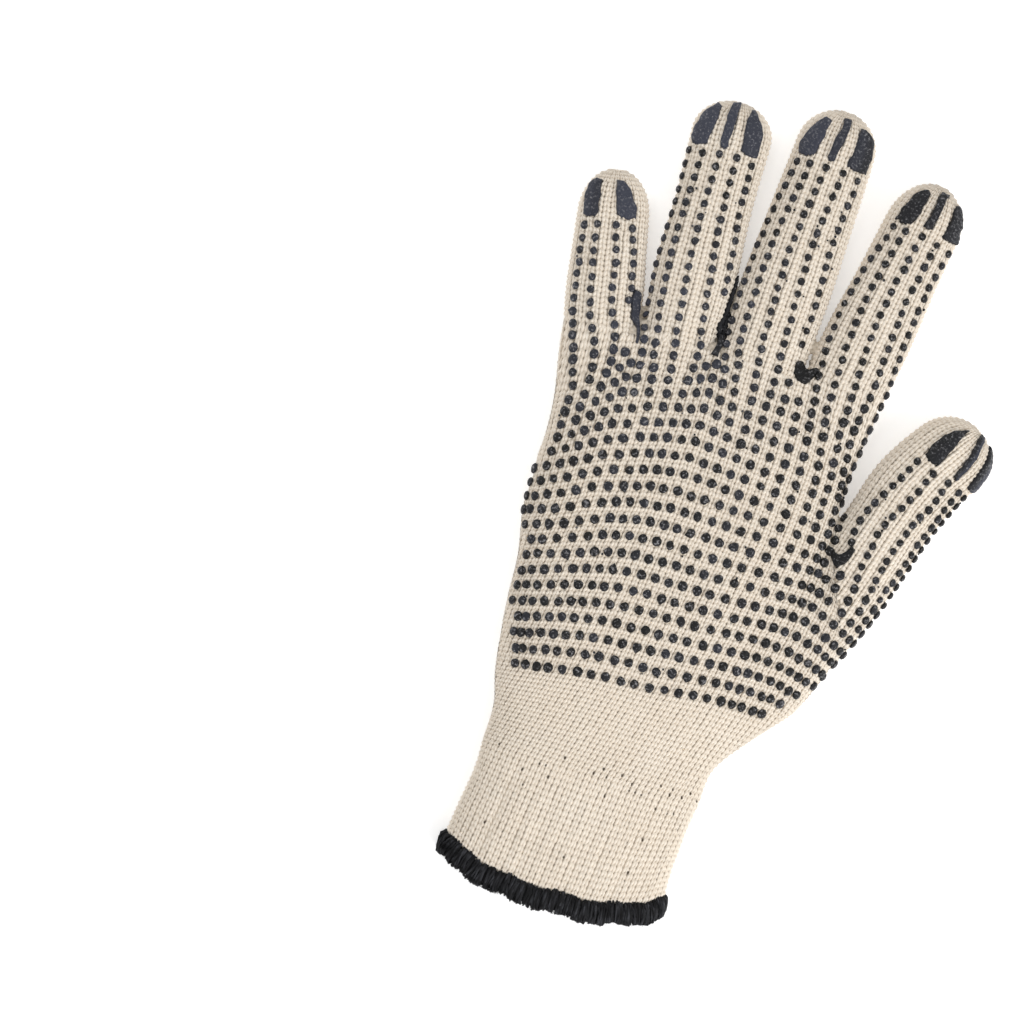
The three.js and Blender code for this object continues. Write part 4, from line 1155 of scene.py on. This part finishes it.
def knitSheet(low, high, front, rings, wales, seed):
    points, over = sheetLattice(low, high, front, wales)
    drop = np.clip(over, 0, None) * knit["wale"] * sheet["overEdge"]
    points = refitToPalm(points, front)
    points[..., 2] += -drop if front else drop
    middles = cellMiddles(points)
    inside = (over[:-1, :-1] + over[1:, 1:]) / 2 < 1
    keep = inside & onPalm(middles)
    return stitchGrains(points, keep, rings, seed, dotSpots), points


# the palm's courses start on the cuff's last one
cuffLow = hand["cuffEnd"] - 0.5
wristRow = cuffLow + 18 * knit["course"]
frontPart, frontGrid = knitSheet(wristRow, 146, True, 3, 34, 21)
backPart, _ = knitSheet(wristRow, 146, False, 2, 34, 22)
cuffFront, cuffGrid = knitSheet(cuffLow, wristRow + 0.1, True, 3, 24, 23)
cuffBack, _ = knitSheet(cuffLow, wristRow + 0.1, False, 3, 24, 24)
knitPiece("knit_palm_front", [frontPart, eyelets(frontGrid[:, 16:-16], [0.4, 1.6], 0.22, 41)])
knitPiece("knit_palm_back", [backPart])
knitPiece("knit_cuff", [cuffFront, cuffBack, eyelets(cuffGrid[:, 9:-9], [15.5, 17.2], 0.2, 42),
                        eyelets(cuffGrid[:, 9:-9], [5.3, 10.4, 13.2], 0.04, 43)])

# Moulded bars on the fingertips and patches in the crotches, all laid out on the dots' chart

bars = {
    "gap": 0.1, "proud": 0.62, "skirt": 0.9, "rows": 30, "across": 15, "rim": (16, 7), "crowd": 0.08,
    "ragged": 0.14, "ragPitch": 1.5, "emboss": 0.13, "rough": 0.03, "inset": 0.4, "seed": 31,
    "dip": 0.6, "dipSpread": 0.35, "dipPower": 6,      # how the foot of a bar bulges down
    # from the tip down: left side, right side, and how slate it is at its left and its right; the paler right
    # of thumb_2 and thumb_3 is a painted highlight
    "table": {
        "little_1": ([(-56.2, 81.2), (-57.6, 79.6), (-58.2, 76), (-57.6, 72.7), (-57, 69.8)],
                     [(-54.8, 81), (-54.5, 79.9), (-53.8, 75.1), (-53.3, 70.4)], 0.6, 0.4),
        "little_2": ([(-50.5, 82.2), (-49.6, 78), (-48.4, 75), (-47.5, 72.2)],
                     [(-48.4, 82.4), (-46, 80.7), (-43.7, 77.6), (-41.9, 72.9)], 0.75, 0.75),
        "ring_1": ([(-28.6, 112.5), (-31.5, 109.4), (-33.3, 104.2), (-33.4, 100.3), (-32.8, 99.1)],
                   [(-27.6, 111.6), (-28.1, 105.5), (-28.6, 99.8)], 0.75, 0.75),
        "ring_2": ([(-24.9, 113.6), (-25.35, 107.9), (-25, 100.1)],
                   [(-22.4, 114.5), (-22.6, 107.1), (-22.6, 100.4)], 0.75, 0.75),
        "ring_3": ([(-18.6, 113.2), (-19.4, 110), (-19.1, 104.8), (-18.6, 100.6)],
                   [(-18.2, 113.1), (-16, 110.4), (-14.15, 107.9), (-13.7, 104.5), (-13.4, 99.9)],
                   0.6, 0.6),
        "middle_1": ([(2.6, 117.5), (0.9, 115.9), (-1.8, 111.6), (-2.7, 107.3), (-2.4, 105.3)],
                     [(4.1, 116.9), (3.2, 110.6), (1.9, 105.6)], 0.7, 0.7),
        "middle_2": ([(7.6, 118.6), (7.7, 115.5), (6.4, 111.3), (5.9, 105.9)],
                     [(9.9, 118.8), (10.1, 116.5), (9, 109.6), (8.5, 105.6)], 0.45, 0.45),
        "middle_3": ([(13.4, 117.2), (13.1, 114.9), (12.9, 109.6), (12.1, 105.4)],
                     [(14.4, 117), (16.6, 115.7), (18.5, 111), (18.2, 104.9)], 0.4, 0.15),
        "index_1": ([(37.4, 105.7), (35.1, 104.7), (32.1, 100.2), (30.2, 95.1)],
                    [(38.1, 104.8), (37.2, 101.2), (36.5, 97.2), (35, 94.5)], 0.08, 0.08),
        "index_2": ([(41.2, 106.5), (40.4, 102.5), (39.4, 98), (38.6, 95)],
                    [(43.5, 106.2), (42.9, 104), (42.2, 100), (41.4, 95)], 0.1, 0.1),
        "index_3": ([(46.5, 104), (46.1, 102.5), (45.7, 97.8), (44.9, 93.7)],
                    [(47.2, 104), (48.2, 103), (49.5, 99.5), (50.2, 93.5)], 0.1, 0.15),
        "thumb_1": ([(69, 42), (64.9, 40.8), (61.5, 37.8), (59.3, 34.2), (58.3, 31.5)],
                    [(68.4, 41.3), (66.5, 37.7), (64.8, 33.5), (62.7, 29.4)], 0.05, 0.1),
        "thumb_2": ([(72.7, 42.3), (70.5, 34.6), (68.1, 28.2)],
                    [(74, 41.3), (72.5, 33.2), (69.6, 27.3)], 0.1, 0.6),
        "thumb_3": ([(76.6, 39), (76.3, 36), (75.1, 31.3), (73.1, 26.4)],
                    [(77.4, 38.6), (78.4, 37), (78.2, 32), (75.6, 25.3)], 0.1, 0.7),
    },
}

webs = {
    "level": 6.6,              # a patch bridges the valley at this height or more
    "table": {
        "little_ring": ([(-31.8, 38), (-32.6, 42.2), (-34.9, 45), (-36, 49), (-36.1, 53)],
                        [(-31, 38), (-31.4, 42.2), (-32.5, 45), (-33.4, 49), (-34.6, 53)], 0.55, 0.55),
        "ring_middle": ([(-9.8, 41.3), (-8.7, 44.9), (-9.7, 49.4), (-9, 54.1), (-8.7, 60), (-8.5, 66)],
                        [(-7.7, 41.3), (-7.1, 44.9), (-7.3, 49.4), (-7.6, 54.1), (-8.1, 60), (-8.1, 66)],
                        0.1, 0.1),
        "middle_index": ([(14.6, 46.3), (15.3, 43), (16.5, 41.5), (18.8, 41), (20.5, 43), (21.8, 45.5)],
                         [(14.7, 46.5), (16, 47), (17.3, 46.3), (18.6, 45.4), (20, 45.9), (21.4, 46.3),
                          (21.9, 45.7)], 0.0, 0.0),
        "thumb": ([(40.6, -2.7), (42.9, -3.7), (44.6, -1.7), (45.6, -0.1)],
                  [(40.6, -5.2), (43, -7.4), (45.4, -5), (46.8, -1)], 0.0, 0.0),
    },
}


def raggedLine(path, shares, rng):
    # a smooth path at shares of its length, with a random push across it every ragPitch
    path = np.array(path, float)
    reach = lengthAlong(path[:, 0], path[:, 1])
    at = shares * reach[-1]
    line = pointsAlong(path, reach, at)
    knots = np.linspace(0, reach[-1], max(int(reach[-1] / bars["ragPitch"]) + 1, 3))
    push = smoothAlong(at, knots, rng.normal(0, bars["ragged"], len(knots)))
    heading = unit(np.gradient(line, axis=0))
    return line + push[:, None] * np.stack([heading[:, 1], -heading[:, 0]], axis=1)


def slabMesh(name, outline, dip, place, rng):
    # height gap + proud (1 - |2s - 1|^p)^0.5 (1 - |2w - 1|^q)^0.5 less the stitches pressed into it
    left, right, slateLeft, rightSlateAndHighlight = outline
    s, w = np.linspace(0, 1, bars["rows"]), np.linspace(0, 1, bars["across"])
    s, w = (v - bars["crowd"] * np.sin(2 * np.pi * v) for v in (s, w))
    a, b = raggedLine(left, s, rng), raggedLine(right, s, rng)
    flat = a[:, None] * (1 - w)[None, :, None] + b[:, None] * w[None, :, None]
    heading = unit(flat[-1].mean(axis=0) - flat[0].mean(axis=0))
    foot = dip * (4 * w * (1 - w) + bars["dipSpread"] * rng.normal(0, 1, len(w)))
    flat += (s ** bars["dipPower"])[:, None, None] * foot[None, :, None] * heading
    point, normal = place(flat + np.array(dotChart["chartAt"]))
    rimAlong, rimAcross = ((1 - np.abs(2 * v - 1) ** p) ** 0.5 for v, p in zip((s, w), bars["rim"]))
    rim = rimAlong[:, None] * rimAcross[None, :]
    rows, wales = flat[..., 1] / knit["course"], flat[..., 0] / knit["wale"]
    wave = np.cos(2 * np.pi * rows) * np.cos(2 * np.pi * wales)
    rough = rng.normal(0, bars["rough"], rim.shape)
    height = bars["gap"] + rim * (bars["proud"] + bars["emboss"] * wave + rough)
    points = np.concatenate([(point + height[..., None] * normal).reshape(-1, 3),
                             (point - bars["skirt"] * normal).reshape(-1, 3)])
    index = np.arange(rim.size).reshape(rim.shape)
    top = np.stack([index[:-1, :-1], index[:-1, 1:], index[1:, 1:], index[1:, :-1]], axis=2).reshape(-1, 4)
    loop = np.concatenate([index[0, :-1], index[:-1, -1], index[-1, :0:-1], index[:0:-1, 0]])
    after = np.roll(loop, -1)
    quads = np.vstack([top, top[:, ::-1] + rim.size,
                       np.stack([loop, loop + rim.size, after + rim.size, after], axis=1)])
    # the slate share runs to the right value across the bar; on two thumb bars that paler right is painted
    # highlight
    slate = slateLeft + (rightSlateAndHighlight - slateLeft) * np.clip((w - 0.35) * 3, 0, 1)
    slate = np.broadcast_to(slate, rim.shape).ravel()
    # the crest share places the painted glint on the raised knit of the bar
    crest = (0.55 + 0.45 * wave) * rim**2
    return outwardFaces(meshObject(name, points, quads, noTris, slate=np.tile(slate, 2),
                                   crest=np.concatenate([crest.ravel(), np.zeros(rim.size)])))


def onLimb(limb, flat):
    # the surface of a bar's own finger, a little in from its side
    x, y = pulledIn(limb, flat[..., 0], flat[..., 1], bars["inset"])
    return surfaceFrame(x, y)[:2]


def buildBars():
    rng = np.random.default_rng(bars["seed"])
    for name, outline in bars["table"].items():
        place = partial(onLimb, name.split("_")[0])
        piece = slabMesh("moulded_bar_" + name, outline, bars["dip"], place, rng)
        finishPiece(piece, pvc, "pvc", "tip_bar_" + name)


def overValley(flat):
    # the surface, bridged level where the valley between two tubes falls away
    point, normal, _, _ = surfaceFrame(flat[..., 0], flat[..., 1])
    bridged = ~(point[..., 2] > webs["level"])
    point[..., 2] = np.where(bridged, webs["level"], point[..., 2])
    return point, np.where(bridged[..., None], [0.0, 0.0, 1.0], normal)


def buildWebs():
    rng = np.random.default_rng(bars["seed"] + 1)
    for name, outline in webs["table"].items():
        piece = slabMesh("moulded_web_" + name, outline, 0.0, overValley, rng)
        finishPiece(piece, pvc, "pvc", "web_" + name)


buildBars()
buildWebs()
print("bars and patches built")

# Overlocked hem

hem = {
    "height": 6.6, "through": 2.1, "power": 2.6, "coreShare": 0.8, "steps": 320, "sides": 18,
    "helper": (0.31, 0.9, 0.3),      # a direction that no stretch of yarn runs along
    "drop": 0.3, "wave": 0.8, "waves": (9, 23), "perTurn": 12, "seed": 17, "lump": 0.03, "look": 0.4,
    "windings": ((210, 0.33, 0.0), (-170, 0.3, 1.3), (290, 0.26, 2.6)),    # turns, radius, start
    "sway": 0.0045, "sways": 61, "hug": 0.93, "swell": 0.09, "swells": 47, "swellSpread": 0.045,
    "yarnSides": 5, "yarnSpread": 0.15, "yarnLimits": (0.7, 1.4), "yarnGlint": 0.9, "fuzzGlint": 0.5,
    "fuzz": 9000, "fuzzLength": (0.4, 1.1), "fuzzWidth": 0.06, "fuzzRise": 0.6, "clear": 0.05,
}


def hemFrame(share):
    # the mouth's outline at shares of its length: place, outward direction and downward direction
    angle = 1.5 * np.pi - np.linspace(0, 2 * np.pi, 721)
    middle, half, crown = (v * np.ones(len(angle)) for v in palmStation(np.array([hand["cuffEnd"]])))
    wall = -hand["knitThickness"] / 2
    side, z = sectionPoint(angle, half, crown, wall, 1.0)
    z = np.maximum(z, hem["through"])
    x = middle + side
    y = hand["cuffEnd"] + mouthBow(hand["cuffEnd"], side / half)
    arc = lengthAlong(x, z)
    back, place, ahead = (np.stack([np.interp(at, arc, v) for v in (x, y, z)], axis=-1) for at in (
        (share % 1.0 * arc[-1] + step) % arc[-1] for step in (-hem["look"], 0.0, hem["look"])))
    forward = unit(ahead - back)
    outward = unit(np.cross(forward, [0.0, -1.0, 0.0]))
    return place, outward, np.cross(outward, forward)


def hemPoint(share, angle, scale):
    # the band's rounded section carried round the mouth, with a slow wave in its height
    place, outward, down = hemFrame(share)
    slow, quick = (share * 2 * np.pi * count for count in hem["waves"])
    wave = hem["wave"] * (np.sin(slow) + 0.6 * np.sin(quick + 1))
    through = bent(np.cos(angle), hem["power"]) * hem["through"] * scale
    along = (bent(np.sin(angle), hem["power"]) * scale + 1) * hem["height"] / 2 + wave * 0.5 + hem["drop"]
    return place + through[..., None] * outward + along[..., None] * down


def yarnMesh(path, radius):
    # a path of points carries a round section, closed at both ends
    forward = unit(np.gradient(path, axis=0))
    first = unit(np.cross(forward, hem["helper"]))
    second = np.cross(forward, first)
    angle = np.linspace(0, 2 * np.pi, hem["yarnSides"], endpoint=False)[None, :, None]
    return closedTube(path[:, None, :] + radius[:, None, None] * (
        np.cos(angle) * first[:, None, :] + np.sin(angle) * second[:, None, :]))


def hemCore(rng):
    # the lumpy band under the yarns, as one closed ring
    steps, sides = hem["steps"], hem["sides"]
    share = np.linspace(0, 1, steps, endpoint=False)[:, None] * np.ones((1, sides))
    angle = np.ones((steps, 1)) * np.linspace(0, 2 * np.pi, sides, endpoint=False)[None, :]
    lump = 1 + rng.normal(0, hem["lump"], (steps, sides))
    core = hemPoint(share, angle, hem["coreShare"] * lump).reshape(-1, 3)
    ring = np.arange(steps * sides).reshape(steps, sides)
    onward = np.roll(ring, -1, axis=0)
    quads = np.stack([ring, np.roll(ring, -1, axis=1), np.roll(onward, -1, axis=1), onward], axis=2)
    return (core, quads.reshape(-1, 4), noTris), np.zeros(len(core))


def hemWinding(turns, size, start, rng):
    # one yarn wound round the band: its path sways along the mouth and swells in and out
    n = abs(turns) * hem["perTurn"]
    t = np.linspace(0, 1, n)
    around = t * 2 * np.pi
    sway = hem["sway"] * np.sin(around * hem["sways"] + start) + rng.normal(0, hem["sway"] / 4, n)
    scale = hem["hug"] + hem["swell"] * np.sin(around * hem["swells"] + start) + rng.normal(
        0, hem["swellSpread"], n)
    path = hemPoint(t + sway, around * turns + start, scale)
    yarn = yarnMesh(path, size * rng.normal(1, hem["yarnSpread"], n).clip(*hem["yarnLimits"]))
    # the tone is the strength of the painted glint along the yarn
    tones = rng.uniform(0, hem["yarnGlint"], n) ** 3
    return yarn, np.concatenate([np.repeat(tones, hem["yarnSides"]), [0, 0]])


def hemFuzz(rng):
    # thin pointed fibres, each a three-sided spike that stands off the band
    n = hem["fuzz"]
    root = hemPoint(rng.uniform(0, 1, n), rng.uniform(0, 2 * np.pi, n), 1.0)
    heading = unit(rng.normal(0, 1, (n, 3)))
    heading[:, 2] = np.abs(heading[:, 2]) * hem["fuzzRise"]
    tip = root + heading * rng.uniform(*hem["fuzzLength"], (n, 1))
    across = unit(np.cross(heading, rng.normal(0, 1, (n, 3))))
    other = np.cross(heading, across)
    base = [root + hem["fuzzWidth"] * (np.cos(a) * across + np.sin(a) * other) for a in (0, 2.1, 4.2)]
    spike = np.array([(0, 2, 1), (0, 1, 3), (1, 2, 3), (2, 0, 3)])
    tris = (spike[None] + (np.arange(n) * 4)[:, None, None]).reshape(-1, 3)
    fibres = (np.stack(base + [tip], axis=1).reshape(-1, 3), np.zeros((0, 4), int), tris)
    # the tone is the strength of the painted glint on each fibre
    return fibres, np.repeat(rng.uniform(0, hem["fuzzGlint"], n), 4)


def buildHem():
    rng = np.random.default_rng(hem["seed"])
    made = [hemCore(rng)] + [hemWinding(*winding, rng) for winding in hem["windings"]] + [hemFuzz(rng)]
    points, quads, tris = joinParts([part for part, _ in made])
    points[:, 2] = np.maximum(points[:, 2], hem["clear"])
    tone = np.concatenate([tones for _, tones in made])
    return outwardFaces(meshObject("hem_overlock", points, quads, tris, tone=tone))


hemPiece = finishPiece(buildHem(), hemYarn, "hem_thread", "overlock_hem")
print("hem built", len(hemPiece.data.polygons), "faces")

# Floor, light and camera

studio = {
    "viewCentre": (-46.35, 66.5), "turn": 17.0, "lens": 100.0, "sensor": 36.0,
    "fieldWidth": 300.0, "subjectHeight": 5.0,      # the view is this wide at this height
    "floorSize": 4.0, "floorColour": (0.93, 0.93, 0.93, 1), "floorGlow": 0.3, "floorDrop": 0.0001,
    # a lamp: place in metres, size, power
    "lamps": {"keyLight": ((0.62, -0.33, 0.5), 0.5, 4.4), "fillLight": ((-0.6, 0.5, 0.8), 0.8, 2.0)},
    "world": 0.8, "white": (1, 1, 1, 1),
}


def makeFloor():
    half = studio["floorSize"] / 2
    mesh = bpy.data.meshes.new("floor")
    corners = [(-half, -half, 0), (half, -half, 0), (half, half, 0), (-half, half, 0)]
    mesh.from_pydata(corners, [], [(0, 1, 2, 3)])
    floor = bpy.data.objects.new("floor", mesh)
    floor.location.z = -studio["floorDrop"]
    bpy.context.scene.collection.objects.link(floor)
    material, tree, shader = newMaterial("paleFloor")
    feed(tree, shader, {"Base Color": studio["floorColour"], "Roughness": 0.9, "Specular IOR Level": 0.0,
                        "Emission Color": studio["white"], "Emission Strength": studio["floorGlow"]})
    floor.data.materials.append(material)


def areaLight(name, place, size, power):
    light = bpy.data.lights.new(name, "AREA")
    light.shape, light.size, light.energy = "SQUARE", size, power
    lamp = bpy.data.objects.new(name, light)
    lamp.location = place
    lamp.rotation_euler = directionTo(place)
    bpy.context.scene.collection.objects.link(lamp)


def directionTo(place):
    # turn that points a lamp at the origin
    x, y, z = place
    flat = math.hypot(x, y)
    return (math.atan2(flat, z), 0.0, math.atan2(y, x) + math.pi / 2)


def makeStudio():
    world = bpy.data.worlds.new("softWorld")
    bpy.context.scene.world = world
    world.use_nodes = True
    feed(world.node_tree, world.node_tree.nodes["Background"], {0: studio["white"], 1: studio["world"]})
    for name, (place, size, power) in studio["lamps"].items():
        areaLight(name, place, size, power)
    bpy.context.scene.view_settings.view_transform = "Standard"


def makeCamera():
    data = bpy.data.cameras.new("camera")
    data.lens, data.sensor_width = studio["lens"], studio["sensor"]
    camera = bpy.data.objects.new("camera", data)
    height = studio["fieldWidth"] * studio["lens"] / studio["sensor"] + studio["subjectHeight"]
    spot = toWorld([studio["viewCentre"][0], studio["viewCentre"][1], height])
    camera.location = spot
    camera.rotation_euler = (0, 0, math.radians(studio["turn"]))
    bpy.context.scene.collection.objects.link(camera)
    bpy.context.scene.camera = camera


makeFloor()
makeStudio()
makeCamera()
print("studio ready")
